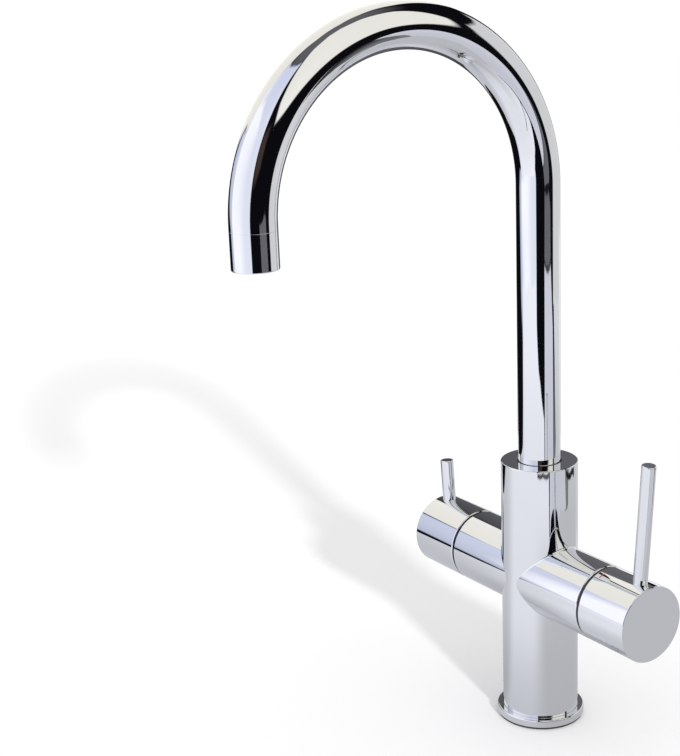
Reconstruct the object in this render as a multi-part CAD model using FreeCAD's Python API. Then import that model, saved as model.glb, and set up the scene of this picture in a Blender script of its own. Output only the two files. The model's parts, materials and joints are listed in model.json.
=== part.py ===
import FreeCAD
import Part

import math
import os

from FreeCAD import Matrix
from FreeCAD import Placement
from FreeCAD import Vector

# A boiling water tap: a cross-shaped chromed casting on a base ring, a swivelling swan neck
# spout with a second tube inside it for the boiling water, a mixing valve with a long lever
# in the right arm and a self-closing boiling water valve with a short lever in the left arm.
# Millimetres. The worktop is z = 0, the column stands on +Z, the spout points to -Y.

# Column and arms of the casting
BODY_DIAMETER = 45.5
BODY_TOP = 163.5
ARM_STEP = 0.5
ARM_HEIGHT = 91.3
ARM_END = 56.9
ARM_WALL = 4.5
SOCKET_DEPTH = 33.0
CREASE_RADIUS = 1.2
EDGE_RADIUS = 0.6

# Base ring and gasket
RING_OVERHANG = 3.55
RING_HEIGHT = 5.0
RING_FLOOR = 2.0
RING_BORE = 36.0
RING_EDGE_RADIUS = 0.9
GASKET_PROUD = 0.8
GASKET_GROOVE = 1.0
GASKET_INSET = 0.7
GASKET_WIDTH = 4.0

# Connections under the column
PORT_THREAD = 9.0
PORT_DEPTH = 14.0
SUPPLY_SPACING = 21.0
STUD_THREAD = 5.0
STUD_DEPTH = 15.0
STUD_SPACING = 26.0
WATERWAY = 7.0
CROSSWAY = 5.6

# Spout
SPOUT_DIAMETER = 25.0
SPOUT_WALL = 1.5
SPOUT_SOCKET_DEPTH = 47.0
ARCH_RADIUS = 92.7
ARCH_HEIGHT = 327.1
TUBE_TAIL = 2.2
SPOUT_GAP = 0.8
BUSH_LENGTH = 7.4
BUSH_RECESS = 0.6
FOOT_LENGTH = 30.0
FOOT_NECK = 10.0
FOOT_PLATE = 4.0
FOOT_WALL = 4.7
WASHER_THICKNESS = 1.0
WASHER_WIDTH = 2.0
INNER_TUBE_DIAMETER = 6.0
INNER_TUBE_WALL = 1.0
INNER_TUBE_PLUG = 10.0
SWIVEL_LIMIT = 75.0
SLOT_DEPTH = 1.8
LOCK_TIP = 3.6
LOCK_RECESS = 1.2
PASSAGES = 6
PASSAGE_DIAMETER = 4.0

# Nozzle
NOZZLE_LENGTH = 20.0
NOZZLE_WALL = 1.7
NOZZLE_PLUG = 5.0
STRAIGHTENER_LENGTH = 9.5
STRAIGHTENER_RECESS = 0.6
STRAIGHTENER_HOLE = 1.8
STRAIGHTENER_HUB = 1.0
STRAIGHTENER_RIM = 1.0
STRAIGHTENER_ROWS = {0.25: 12, 0.75: 18}
NOZZLE_EDGE_RADIUS = 0.5
NOZZLE_CHAMFER = 0.4
NOZZLE_PLUG_WALL = 2.2

# Handles and levers
HANDLE_GAP = 1.2
HANDLE_WALL = 2.2
HANDLE_END_WALL = 4.0
BOSS_DIAMETER = 18.0
MIXER_HANDLE_LENGTH = 36.4
BOIL_HANDLE_LENGTH = 38.3
LEVER_DIAMETER = 8.2
LEVER_LEAN = 4.4
LEVER_SEAT = 0.9
LEVER_SHANK = 6.0
LEVER_TIP_RADIUS = 0.6
LEVER_SHANK_MARGIN = 1.6
MIXER_LEVER_LENGTH = 70.4
MIXER_LEVER_INSET = 9.1
BOIL_LEVER_LENGTH = 26.0
BOIL_LEVER_INSET = 7.0
GRUB_DIAMETER = 5.0
GRUB_LENGTH = 6.0
GRUB_INSET = 15.0
HEX_SOCKET = 2.5
HEX_SOCKET_DEPTH = 3.0
MARK_DIAMETER = 3.4
MARK_DEPTH = 0.5
MARK_ANGLE = 19.0
MARK_OFFSET = 4.6

# Glide rings in the handle grooves
GLIDE_DEPTH = 4.0
GLIDE_LAND = 5.0
GLIDE_WALL = 3.6
GLIDE_SETBACK = 1.0

# Mixing valve
CARTRIDGE_BASE = 4.0
CARTRIDGE_WALL = 4.9
CARTRIDGE_LID = 4.0
DISC_THICKNESS = 4.0
THRUST_THICKNESS = 2.0
SEAL_THICKNESS = 1.5
NUT_LENGTH = 5.0
STEM_DIAMETER = 10.0
SPLINE_DIAMETER = 8.0
SPLINE_TEETH = 20
SPLINE_DEPTH = 0.4
STEM_ENTRY = 16.0
STEM_MARGIN = 2.0
PORT_OPENING = 4.8
PORT_SEAL_OUTSIDE = 7.8
PORT_SEAL_BORE = 5.2
DISC_OPENING = 4.4
DISC_EDGE = 1.2
DISC_PLAY = 0.5
CHANNEL_WIDTH = 4.2
CHANNEL_DEPTH = 2.4
FLANGE_PLAY = 1.0
NUT_BORE = 20.0
NUT_SLOT_WIDTH = 4.0
NUT_SLOT_DEPTH = 2.5
NUT_SLOT_REACH = 4.0
NUT_SLOTS = 4
SUPPLY_DROP = 5.0

# Boiling water valve
VALVE_BORE = 21.0
VALVE_REACH = 14.0
VALVE_SEAT = 2.0
VALVE_DISC = 2.5
VALVE_WALL = 2.4
VALVE_CAGE_STEP = 1.5
VALVE_LIP = 1.5
VALVE_LIP_LENGTH = 1.0
VALVE_THREAD = 4.0
VALVE_FLANGE = 3.0
VALVE_PLAY = 0.4
VALVE_WINDOW = 5.0
SECTOR_HUB = 1.2
SECTOR_RIM = 0.9
SECTOR_ANGLE = 80.0
BOIL_CROSSWAY = 3.0
BOIL_RISER = 3.8
VALVE_HEX = 27.0
VALVE_HEX_LENGTH = 6.0
VALVE_NECK = 15.0
VALVE_NECK_DIAMETER = 19.0
CLIP_THICKNESS = 1.0
CLIP_WIDTH = 2.4
CLIP_GROOVE = 0.8
CLIP_MOUTH = 5.0
SPRING_WIRE = 1.6
SPRING_DIAMETER = 25.0
SPRING_TURNS = 4
SPRING_PITCH = 2.6
SPRING_BEND_RATIO = 1.4
SPRING_SEAT_LENGTH = 3.0
SPRING_PLATE = 3.0
SPRING_PLATE_RIM = 2.5
SPRING_GAP = 2.0

# Round seals: their sections, the spare depth of their grooves and the grooves' width per section
TUBE_SEAL = 1.5
FOOT_SEAL = 1.68
FOOT_SEAL_SHARES = (0.2, 0.45)
NOZZLE_SEAL = 1.0
STEM_SEAL = 1.16
GROOVE_SPARE = 0.05
GROOVE_WIDTH = 1.4

# Fits
RUNNING = 0.05
SEATED = 0.05
FREE = 0.25
SAME = 1e-4
PAST = 1.0

BODY_RADIUS = BODY_DIAMETER / 2
ARM_RADIUS = BODY_RADIUS - ARM_STEP
SOCKET_RADIUS = ARM_RADIUS - ARM_WALL
SOCKET_FLOOR = ARM_END - SOCKET_DEPTH
RING_RADIUS = BODY_RADIUS + RING_OVERHANG
BODY_FOOT = GASKET_PROUD + RING_FLOOR
HANDLE_START = ARM_END + HANDLE_GAP
HANDLE_BORE = ARM_RADIUS - HANDLE_WALL
COUNTERBORE = HANDLE_BORE + FREE
SPOUT_RADIUS = SPOUT_DIAMETER / 2
SPOUT_BORE = SPOUT_RADIUS - SPOUT_WALL
SPOUT_SOCKET = SPOUT_RADIUS + SPOUT_GAP
SPOUT_FLOOR = BODY_TOP - SPOUT_SOCKET_DEPTH
FOOT_BOTTOM = SPOUT_FLOOR + WASHER_THICKNESS
FOOT_TOP = FOOT_BOTTOM + FOOT_LENGTH
FOOT_RADIUS = SPOUT_SOCKET - RUNNING
LOCK_HEIGHT = FOOT_TOP - FOOT_LENGTH / 4
TUBE_END = ARCH_HEIGHT - TUBE_TAIL
OUTLET_HEIGHT = TUBE_END - NOZZLE_LENGTH
INNER_RADIUS = INNER_TUBE_DIAMETER / 2
STEM_RADIUS = STEM_DIAMETER / 2
SPLINE_RADIUS = SPLINE_DIAMETER / 2
BOSS_RADIUS = BOSS_DIAMETER / 2
LEVER_RADIUS = LEVER_DIAMETER / 2
WATERWAY_RADIUS = WATERWAY / 2
CARTRIDGE_RADIUS = SOCKET_RADIUS - FREE
CARTRIDGE_CAP = 3 * DISC_THICKNESS + THRUST_THICKNESS + CARTRIDGE_LID
DISC_RADIUS = CARTRIDGE_RADIUS - CARTRIDGE_WALL
MIXED_RISE = DISC_RADIUS - PORT_OPENING / 2 - DISC_EDGE
VALVE_RADIUS = VALVE_BORE / 2
VALVE_TIP = SOCKET_FLOOR - VALVE_REACH
BOIL_RISE = VALVE_RADIUS - VALVE_CAGE_STEP + RUNNING
MIXED_OFFSET = (INNER_RADIUS + SPOUT_SOCKET) / 2
CROSS_RADIUS = CROSSWAY / 2
BOIL_CROSS_RADIUS = BOIL_CROSSWAY / 2
BOIL_RISER_RADIUS = BOIL_RISER / 2
TUBE_SEAL_HEIGHT = SPOUT_FLOOR - INNER_TUBE_PLUG / 2
SPRING_SWEEP = 2 * math.pi * SPRING_TURNS - math.pi / 2
SPRING_BEND = SPRING_BEND_RATIO * SPRING_WIRE
SPRING_HOLE_RADIUS = SPRING_WIRE / 2 + FREE

RIGHT = 1
LEFT = -1
X = Vector(1, 0, 0)
Y = Vector(0, 1, 0)
Z = Vector(0, 0, 1)
ORIGIN = Vector(0, 0, 0)
OVERRUN = Vector(0, 0, WATERWAY_RADIUS)


def rod(radius, low, high):
    """Plain cylinder about Z between two heights."""
    return Part.makeCylinder(radius, high - low, Vector(0, 0, low))


def ring(outer, inner, low, high):
    """Plain ring about Z between two heights."""
    return rod(outer, low, high).cut(rod(inner, low, high))


def bore(radius, start, end):
    """Drill of a radius from one point to another."""
    path = end.sub(start)
    return Part.makeCylinder(radius, path.Length, start, path)


def turned(outline, first=0, sweep=360):
    """Solid turned about Z from a closed outline of (radius, height) points."""
    points = [Vector(radius, 0, height) for radius, height in outline]
    face = Part.Face(Part.makePolygon(points + points[:1]))
    solid = face.revolve(ORIGIN, Z, sweep)
    solid.rotate(ORIGIN, Z, first)
    return solid


def round_seal(centre_radius, section_radius, height):
    """Round-section sealing ring about Z."""
    return Part.makeTorus(centre_radius, section_radius, Vector(0, 0, height), Z)


def seal_groove(surface, section, height):
    """Cutter for the groove of a round seal that is let into a shaft."""
    half = GROOVE_WIDTH * section / 2
    return ring(surface + section, surface - section - GROOVE_SPARE, height - half, height + half)


def prism(points, low, high):
    """Straight prism about Z over a closed outline of (x, y) points."""
    corners = [Vector(x, y, low) for x, y in points]
    face = Part.Face(Part.makePolygon(corners + corners[:1]))
    return face.extrude(Vector(0, 0, high - low))


def hexagon(across_flats, low, high):
    """Hexagonal prism about Z."""
    corner = across_flats / math.sqrt(3)
    angles = [math.radians(60 * step) for step in range(6)]
    return prism([(corner * math.cos(a), corner * math.sin(a)) for a in angles], low, high)


def spline(radius, low, high):
    """Toothed shaft end about Z."""
    points = []
    for step in range(2 * SPLINE_TEETH):
        angle = math.pi * step / SPLINE_TEETH
        reach = radius if step % 2 == 0 else radius - SPLINE_DEPTH
        points.append((reach * math.cos(angle), reach * math.sin(angle)))
    return prism(points, low, high)


def around(solid, count):
    """Copies of a solid spread evenly about Z, as one compound."""
    copies = []
    for step in range(count):
        copy = solid.copy()
        copy.rotate(ORIGIN, Z, 360.0 * step / count)
        copies.append(copy)
    return Part.makeCompound(copies)


def rounded(solid, radius, places):
    """The solid with its circular edges at the given (radius, height) places filleted."""
    edges = []
    for edge in solid.Edges:
        if not isinstance(edge.Curve, Part.Circle):
            continue
        for circle, height in places:
            same_size = abs(edge.Curve.Radius - circle) < SAME
            same_height = abs(edge.Curve.Center.z - height) < SAME
            if same_size and same_height:
                edges.append(edge)
    return solid.makeFillet(radius, edges)


def on_arm(solid, side):
    """Carries a piece modelled about Z out along an arm, its own +X to the top."""
    turn = Matrix(0, 0, side, 0, 0, -side, 0, 0, 1, 0, 0, ARM_HEIGHT, 0, 0, 0, 1)
    moved = solid.copy()
    moved.Placement = Placement(turn).multiply(moved.Placement)
    return moved


def arm_point(side, along, across, rise):
    """Point beside an arm: distance along it, to the back, and above its axis."""
    return Vector(side * along, across, ARM_HEIGHT + rise)


def swan_neck(radius, low, end):
    """Solid rod along the spout's centre line, from a height up and over to the outlet side."""
    hub = Vector(0, -ARCH_RADIUS, ARCH_HEIGHT)
    section = Part.Face(Part.Wire(Part.makeCircle(radius, Vector(0, 0, ARCH_HEIGHT), Z)))
    arch = section.revolve(hub, X, 180)
    rise = rod(radius, low, ARCH_HEIGHT)
    fall = rod(radius, end, ARCH_HEIGHT)
    fall.translate(Vector(0, -2 * ARCH_RADIUS, 0))
    return rise.fuse([arch, fall]).removeSplitter()


def at_outlet(solid):
    """Moves a piece modelled about Z to the falling side of the spout."""
    moved = solid.copy()
    moved.translate(Vector(0, -2 * ARCH_RADIUS, 0))
    return moved


def crossed_bars():
    """Outside of the casting: the column and the arms with their blended creases."""
    column = rod(BODY_RADIUS, BODY_FOOT, BODY_TOP)
    column.rotate(ORIGIN, Z, 90)
    arms = on_arm(rod(ARM_RADIUS, -ARM_END, ARM_END), RIGHT)
    cross = column.fuse(arms)
    creases = [edge for edge in cross.Edges if isinstance(edge.Curve, Part.BSplineCurve)]
    cross = cross.makeFillet(CREASE_RADIUS, creases)
    rims = []
    for edge in cross.Edges:
        if isinstance(edge.Curve, Part.Circle):
            on_top = abs(edge.Curve.Center.z - BODY_TOP) < SAME
            on_end = abs(abs(edge.Curve.Center.x) - ARM_END) < SAME
            if on_top or on_end:
                rims.append(edge)
    return cross.makeFillet(EDGE_RADIUS, rims)


def body_casting():
    """Cross-shaped brass casting with valve sockets, spout socket and waterways."""
    cuts = [rod(SPOUT_SOCKET, SPOUT_FLOOR, BODY_TOP)]
    for side in (RIGHT, LEFT):
        cuts.append(on_arm(rod(SOCKET_RADIUS, SOCKET_FLOOR, ARM_END), side))
        cuts.append(on_arm(rod(COUNTERBORE, ARM_END - GLIDE_DEPTH, ARM_END), side))

    # Hot water comes up the front, cold water up the back, both into the right socket.
    for across in (-SUPPLY_SPACING / 2, SUPPLY_SPACING / 2):
        foot = Vector(0, across, BODY_FOOT)
        turn = Vector(0, across, ARM_HEIGHT - SUPPLY_DROP)
        cuts.append(bore(PORT_THREAD / 2, foot, foot.add(Vector(0, 0, PORT_DEPTH))))
        cuts.append(bore(WATERWAY_RADIUS, foot, turn.add(OVERRUN)))
        cuts.append(bore(CROSS_RADIUS, turn, arm_point(RIGHT, SOCKET_FLOOR, across, -SUPPLY_DROP)))

    # Mixed water leaves the right socket for the space round the foot of the spout.
    turn = arm_point(RIGHT, MIXED_OFFSET, 0, MIXED_RISE)
    cuts.append(bore(CROSS_RADIUS, turn, arm_point(RIGHT, SOCKET_FLOOR, 0, MIXED_RISE)))
    cuts.append(bore(WATERWAY_RADIUS, turn.sub(OVERRUN), Vector(MIXED_OFFSET, 0, SPOUT_FLOOR)))

    # Boiling water comes up the middle to the left valve and goes on to the inner tube.
    middle = Vector(0, 0, BODY_FOOT)
    turn = arm_point(LEFT, 0, 0, 0)
    tip = arm_point(LEFT, VALVE_TIP, 0, 0)
    cuts.append(bore(PORT_THREAD / 2, middle, middle.add(Vector(0, 0, PORT_DEPTH))))
    cuts.append(bore(WATERWAY_RADIUS, middle, turn.add(OVERRUN)))
    cuts.append(bore(CROSS_RADIUS, turn, tip))
    cuts.append(bore(VALVE_RADIUS, tip, arm_point(LEFT, SOCKET_FLOOR, 0, 0)))
    turn = arm_point(LEFT, 0, 0, BOIL_RISE)
    cuts.append(bore(BOIL_CROSS_RADIUS, turn, arm_point(LEFT, VALVE_TIP + VALVE_SEAT, 0, BOIL_RISE)))
    cuts.append(bore(BOIL_RISER_RADIUS, turn.sub(Vector(0, 0, BOIL_RISER)), Vector(0, 0, SPOUT_FLOOR)))
    cuts.append(rod(INNER_RADIUS + RUNNING, SPOUT_FLOOR - INNER_TUBE_PLUG, SPOUT_FLOOR))
    groove = INNER_RADIUS + RUNNING + TUBE_SEAL + GROOVE_SPARE
    half = GROOVE_WIDTH * TUBE_SEAL / 2
    cuts.append(rod(groove, TUBE_SEAL_HEIGHT - half, TUBE_SEAL_HEIGHT + half))

    # Fixing studs under the column, and the screw that keeps the spout in from behind.
    for along in (-STUD_SPACING / 2, STUD_SPACING / 2):
        foot = Vector(along, 0, BODY_FOOT)
        cuts.append(bore(STUD_THREAD / 2, foot, foot.add(Vector(0, 0, STUD_DEPTH))))
    back = Vector(0, BODY_RADIUS + PAST, LOCK_HEIGHT)
    cuts.append(bore(GRUB_DIAMETER / 2, back, Vector(0, 0, LOCK_HEIGHT)))
    return crossed_bars().cut(cuts)


def base_ring():
    """Chromed ring that the column stands in, grooved below for its gasket."""
    low = GASKET_PROUD
    high = low + RING_HEIGHT
    outside = rod(RING_RADIUS, low, high)
    outside = rounded(outside, RING_EDGE_RADIUS, [(RING_RADIUS, high)])
    seat = rod(BODY_RADIUS + SEATED, BODY_FOOT, high)
    hole = rod(RING_BORE / 2, low, high)
    outer = RING_RADIUS - GASKET_INSET + SEATED
    inner = RING_RADIUS - GASKET_INSET - GASKET_WIDTH - SEATED
    groove = ring(outer, inner, low, low + GASKET_GROOVE)
    return outside.cut([seat, hole, groove])


def base_gasket():
    """Rubber gasket that stands a little proud of the base ring's underside."""
    outer = RING_RADIUS - GASKET_INSET
    return ring(outer, outer - GASKET_WIDTH, 0, GASKET_PROUD + GASKET_GROOVE)


def spout_bush():
    """Dark bearing ring between the spout and the top of the column."""
    high = BODY_TOP - BUSH_RECESS
    return ring(SPOUT_SOCKET - SEATED, SPOUT_RADIUS + RUNNING, high - BUSH_LENGTH, high)


def spout_slip_washer():
    """Washer that the foot of the spout turns on."""
    outer = SPOUT_SOCKET - SEATED
    return ring(outer, outer - WASHER_WIDTH, SPOUT_FLOOR, FOOT_BOTTOM)


def lock_screw():
    """Socket screw behind the column whose plain tip rides in the foot's slot."""
    tip = FOOT_RADIUS - SLOT_DEPTH + FREE
    shoulder = SPOUT_SOCKET + FREE
    end = BODY_RADIUS - LOCK_RECESS
    thread = GRUB_DIAMETER / 2 - RUNNING
    screw = rod(thread, shoulder, end).fuse(rod(LOCK_TIP / 2, tip, shoulder))
    screw = screw.cut(hexagon(HEX_SOCKET, end - HEX_SOCKET_DEPTH, end))
    screw.rotate(ORIGIN, X, -90)
    screw.translate(Vector(0, 0, LOCK_HEIGHT))
    return screw


def boil_tube_seal():
    """Seal round the plug end of the inner tube."""
    section = TUBE_SEAL / 2
    return round_seal(INNER_RADIUS + RUNNING + section, section, TUBE_SEAL_HEIGHT)


def spout_tube():
    """Hollow swan neck."""
    return swan_neck(SPOUT_RADIUS, FOOT_TOP, TUBE_END).cut(swan_neck(SPOUT_BORE, FOOT_TOP, TUBE_END))


def spout_foot():
    """Brass foot of the spout with two seal grooves and the slot that limits the swing."""
    neck = SPOUT_BORE - SEATED
    inside = FOOT_RADIUS - FOOT_WALL
    foot = turned([
        (INNER_RADIUS + SEATED, FOOT_BOTTOM),
        (FOOT_RADIUS, FOOT_BOTTOM),
        (FOOT_RADIUS, FOOT_TOP),
        (neck, FOOT_TOP),
        (neck, FOOT_TOP + FOOT_NECK),
        (inside, FOOT_TOP + FOOT_NECK),
        (inside, FOOT_BOTTOM + FOOT_PLATE),
        (INNER_RADIUS + SEATED, FOOT_BOTTOM + FOOT_PLATE),
    ])
    cuts = []
    for height in seal_heights():
        cuts.append(seal_groove(FOOT_RADIUS, FOOT_SEAL, height))
    half_slot = LOCK_TIP / 2 + FREE
    low = LOCK_HEIGHT - half_slot
    high = LOCK_HEIGHT + half_slot
    inner = FOOT_RADIUS - SLOT_DEPTH
    outer = FOOT_RADIUS + SLOT_DEPTH
    swing = SWIVEL_LIMIT + math.degrees(math.asin(half_slot / inner))
    outline = [(inner, low), (outer, low), (outer, high), (inner, high)]
    cuts.append(turned(outline, 90 - swing, 2 * swing))
    middle = (INNER_RADIUS + inside) / 2
    passage = rod(PASSAGE_DIAMETER / 2, FOOT_BOTTOM, FOOT_BOTTOM + FOOT_PLATE)
    passage.translate(Vector(middle, 0, 0))
    cuts.append(around(passage, PASSAGES))
    return foot.cut(cuts)


def seal_heights():
    """Heights of the two seals on the foot of the spout."""
    return [FOOT_BOTTOM + FOOT_LENGTH * share for share in FOOT_SEAL_SHARES]


def spout_orings():
    """Pair of seals on the foot of the spout."""
    section = FOOT_SEAL / 2
    rings = [round_seal(FOOT_RADIUS - section, section, height) for height in seal_heights()]
    return Part.makeCompound(rings)


def boil_inner_tube():
    """Separate tube inside the spout that carries the boiling water to the nozzle."""
    start = SPOUT_FLOOR - INNER_TUBE_PLUG + INNER_TUBE_WALL
    end = OUTLET_HEIGHT + STRAIGHTENER_RECESS
    outside = swan_neck(INNER_RADIUS, start, end)
    return outside.cut(swan_neck(INNER_RADIUS - INNER_TUBE_WALL, start, end))


def nozzle_plug():
    """Radius of the nozzle's plug inside the spout tube."""
    return SPOUT_BORE - FREE


def nozzle_seal_height():
    """Height of the seal on the nozzle's plug."""
    return TUBE_END + NOZZLE_SEAL * GROOVE_WIDTH


def nozzle_sleeve():
    """Nozzle end of the spout, plugged into the tube."""
    plug = nozzle_plug()
    inside = SPOUT_RADIUS - NOZZLE_WALL
    waterway = plug - NOZZLE_PLUG_WALL
    shoulder = OUTLET_HEIGHT + STRAIGHTENER_RECESS + STRAIGHTENER_LENGTH
    sleeve = turned([
        (inside, OUTLET_HEIGHT),
        (SPOUT_RADIUS, OUTLET_HEIGHT),
        (SPOUT_RADIUS, TUBE_END - NOZZLE_CHAMFER),
        (SPOUT_RADIUS - NOZZLE_CHAMFER, TUBE_END),
        (plug, TUBE_END),
        (plug, TUBE_END + NOZZLE_PLUG),
        (waterway, TUBE_END + NOZZLE_PLUG),
        (waterway, shoulder),
        (inside, shoulder),
    ])
    sleeve = rounded(sleeve, NOZZLE_EDGE_RADIUS, [(SPOUT_RADIUS, OUTLET_HEIGHT)])
    return at_outlet(sleeve.cut(seal_groove(plug, NOZZLE_SEAL, nozzle_seal_height())))


def nozzle_oring():
    """Seal between the nozzle and the spout tube."""
    section = NOZZLE_SEAL / 2
    return at_outlet(round_seal(nozzle_plug() - section + RUNNING, section, nozzle_seal_height()))


def flow_straightener():
    """Honeycomb insert of the nozzle with the inner tube in its middle."""
    low = OUTLET_HEIGHT + STRAIGHTENER_RECESS
    high = low + STRAIGHTENER_LENGTH
    outside = SPOUT_RADIUS - NOZZLE_WALL - SEATED
    hub = INNER_RADIUS + STRAIGHTENER_HUB
    room = outside - STRAIGHTENER_RIM - hub
    cuts = [rod(INNER_RADIUS + SEATED, low, high)]
    for share, count in STRAIGHTENER_ROWS.items():
        reach = hub + room * share
        hole = rod(STRAIGHTENER_HOLE / 2, low, high)
        hole.translate(Vector(reach, 0, 0))
        cuts.append(around(hole, count))
    return at_outlet(rod(outside, low, high).cut(cuts))


def handle_boss(length):
    """Distance from the column's axis to the start of a handle's inner boss."""
    return HANDLE_START + length - HANDLE_END_WALL - STEM_ENTRY - STEM_MARGIN


def lever_frame(length, inset):
    """Placement that sets a lever, modelled about Z from its seat, on a handle."""
    along = HANDLE_START + length - inset
    lean = math.radians(LEVER_LEAN)
    up = Vector(math.cos(lean), 0, math.sin(lean))
    out = Vector(-math.sin(lean), 0, math.cos(lean))
    seat = Vector(ARM_RADIUS, 0, along).sub(Vector(up).multiply(LEVER_SEAT))
    turn = Matrix(out.x, 0, up.x, seat.x, 0, -1, 0, seat.y, out.z, 0, up.z, seat.z, 0, 0, 0, 1)
    return Placement(turn)


def shank_depth():
    """Depth of a lever's threaded hole below its seat."""
    return ARM_RADIUS - LEVER_SEAT - SPLINE_RADIUS - LEVER_SHANK_MARGIN


def lever(length, inset, reach):
    """Round lever with a thinner shank that screws into the handle's boss."""
    shank = LEVER_SHANK / 2 - RUNNING
    pin = rod(LEVER_RADIUS, 0, reach + LEVER_SEAT)
    pin = rounded(pin, LEVER_TIP_RADIUS, [(LEVER_RADIUS, reach + LEVER_SEAT)])
    pin = pin.fuse(rod(shank, RUNNING - shank_depth(), 0))
    pin.Placement = lever_frame(length, inset)
    return pin


def handle(length, inset, plate):
    """Hollow round handle with an inner boss for the stem, the lever and the grub screw."""
    end = HANDLE_START + length
    floor = end - HANDLE_END_WALL
    start = handle_boss(length)
    shell = rod(ARM_RADIUS, HANDLE_START, end)
    shell = rounded(shell, EDGE_RADIUS, [(ARM_RADIUS, HANDLE_START), (ARM_RADIUS, end)])
    shell = shell.cut(rod(HANDLE_BORE, HANDLE_START, floor))
    shell = shell.fuse(rod(BOSS_RADIUS, start, floor + PAST))
    if plate:
        shell = shell.fuse(rod(SPRING_DIAMETER / 2 + SPRING_PLATE_RIM, start, start + SPRING_PLATE))
    cuts = [rod(SPLINE_RADIUS + SEATED, start, start + STEM_ENTRY + STEM_MARGIN / 2)]
    pocket = rod(LEVER_RADIUS + SEATED, 0, LEVER_DIAMETER)
    pocket = pocket.fuse(rod(LEVER_SHANK / 2, -shank_depth(), 0))
    pocket.Placement = lever_frame(length, inset)
    cuts.append(pocket)
    grub = end - GRUB_INSET
    wall = Vector(-ARM_RADIUS - PAST, 0, grub)
    cuts.append(bore(GRUB_DIAMETER / 2, Vector(0, 0, grub), wall))
    cuts.append(bore(GRUB_DIAMETER / 2 + FREE, Vector(-BOSS_RADIUS - PAST, 0, grub), wall))
    if plate:
        leg = spring_corners()[1]
        hole = Vector(leg.x, leg.y, start)
        cuts.append(bore(SPRING_HOLE_RADIUS, hole, hole.add(Vector(0, 0, SPRING_PLATE))))
    return shell.cut(cuts)


def grub_screw(length):
    """Socket screw that clamps a handle on its stem from below."""
    thread = GRUB_DIAMETER / 2 - RUNNING
    low = SPLINE_RADIUS + RUNNING
    screw = rod(thread, low, low + GRUB_LENGTH)
    screw = screw.cut(hexagon(HEX_SOCKET, low + GRUB_LENGTH - HEX_SOCKET_DEPTH, low + GRUB_LENGTH))
    screw.rotate(ORIGIN, Y, -90)
    screw.translate(Vector(0, 0, HANDLE_START + length - GRUB_INSET))
    return screw


def mark_cutter(trim, depth):
    """Round plug standing on the right handle where its mark lies."""
    plug = rod(MARK_DIAMETER / 2 - trim, ARM_RADIUS - depth, ARM_RADIUS + MARK_DIAMETER)
    plug.rotate(ORIGIN, Y, 90)
    plug.rotate(ORIGIN, Z, MARK_ANGLE)
    plug.translate(Vector(0, 0, HANDLE_START + MARK_OFFSET))
    return plug


def hot_mark():
    """Red enamel mark let into the right handle."""
    rim = rod(ARM_RADIUS, HANDLE_START, HANDLE_START + MIXER_HANDLE_LENGTH)
    return mark_cutter(SEATED, MARK_DEPTH).common(rim)


def glide_ring():
    """Dark plastic ring set in the end of an arm, on which the handle turns."""
    inner = HANDLE_BORE - GLIDE_WALL
    groove_end = HANDLE_START - FREE
    return turned([
        (inner, ARM_END - GLIDE_DEPTH),
        (COUNTERBORE - SEATED, ARM_END - GLIDE_DEPTH),
        (COUNTERBORE - SEATED, ARM_END),
        (ARM_RADIUS - GLIDE_SETBACK, ARM_END),
        (ARM_RADIUS - GLIDE_SETBACK, groove_end),
        (HANDLE_BORE - RUNNING, groove_end),
        (HANDLE_BORE - RUNNING, HANDLE_START + GLIDE_LAND),
        (inner, HANDLE_START + GLIDE_LAND),
    ])


def mixer_ports():
    """Places of the hot, cold and mixed ports in the mixing valve's base."""
    return [
        (-SUPPLY_DROP, -SUPPLY_SPACING / 2),
        (-SUPPLY_DROP, SUPPLY_SPACING / 2),
        (MIXED_RISE, 0),
    ]


def at_ports(solid):
    """Copies of a solid at the three ports, as one compound."""
    copies = []
    for up, across in mixer_ports():
        copy = solid.copy()
        copy.translate(Vector(up, across, 0))
        copies.append(copy)
    return Part.makeCompound(copies)


def mixer_cartridge_base():
    """Base of the mixing cartridge with its three ports and seal recesses."""
    high = SOCKET_FLOOR + CARTRIDGE_BASE
    plate = rod(CARTRIDGE_RADIUS, SOCKET_FLOOR, high)
    through = at_ports(rod(PORT_OPENING / 2, SOCKET_FLOOR, high))
    recess = at_ports(rod(PORT_SEAL_OUTSIDE / 2 + SEATED, SOCKET_FLOOR, SOCKET_FLOOR + SEAL_THICKNESS))
    return plate.cut([through, recess])


def mixer_port_seals():
    """Three port seals under the mixing cartridge."""
    high = SOCKET_FLOOR + SEAL_THICKNESS
    return at_ports(ring(PORT_SEAL_OUTSIDE / 2, PORT_SEAL_BORE / 2, SOCKET_FLOOR, high))


def mixer_disc_start():
    """Distance along the arm to the fixed ceramic disc."""
    return SOCKET_FLOOR + CARTRIDGE_BASE


def mixer_fixed_disc():
    """Fixed ceramic disc with its three openings."""
    low = mixer_disc_start()
    disc = rod(DISC_RADIUS - RUNNING, low, low + DISC_THICKNESS)
    openings = []
    for up, across in mixer_ports():
        shift = math.hypot(up, across)
        scale = (DISC_RADIUS - DISC_OPENING / 2 - DISC_EDGE) / shift
        hole = rod(DISC_OPENING / 2, low, low + DISC_THICKNESS)
        hole.translate(Vector(up * scale, across * scale, 0))
        openings.append(hole)
    return disc.cut(openings)


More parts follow.
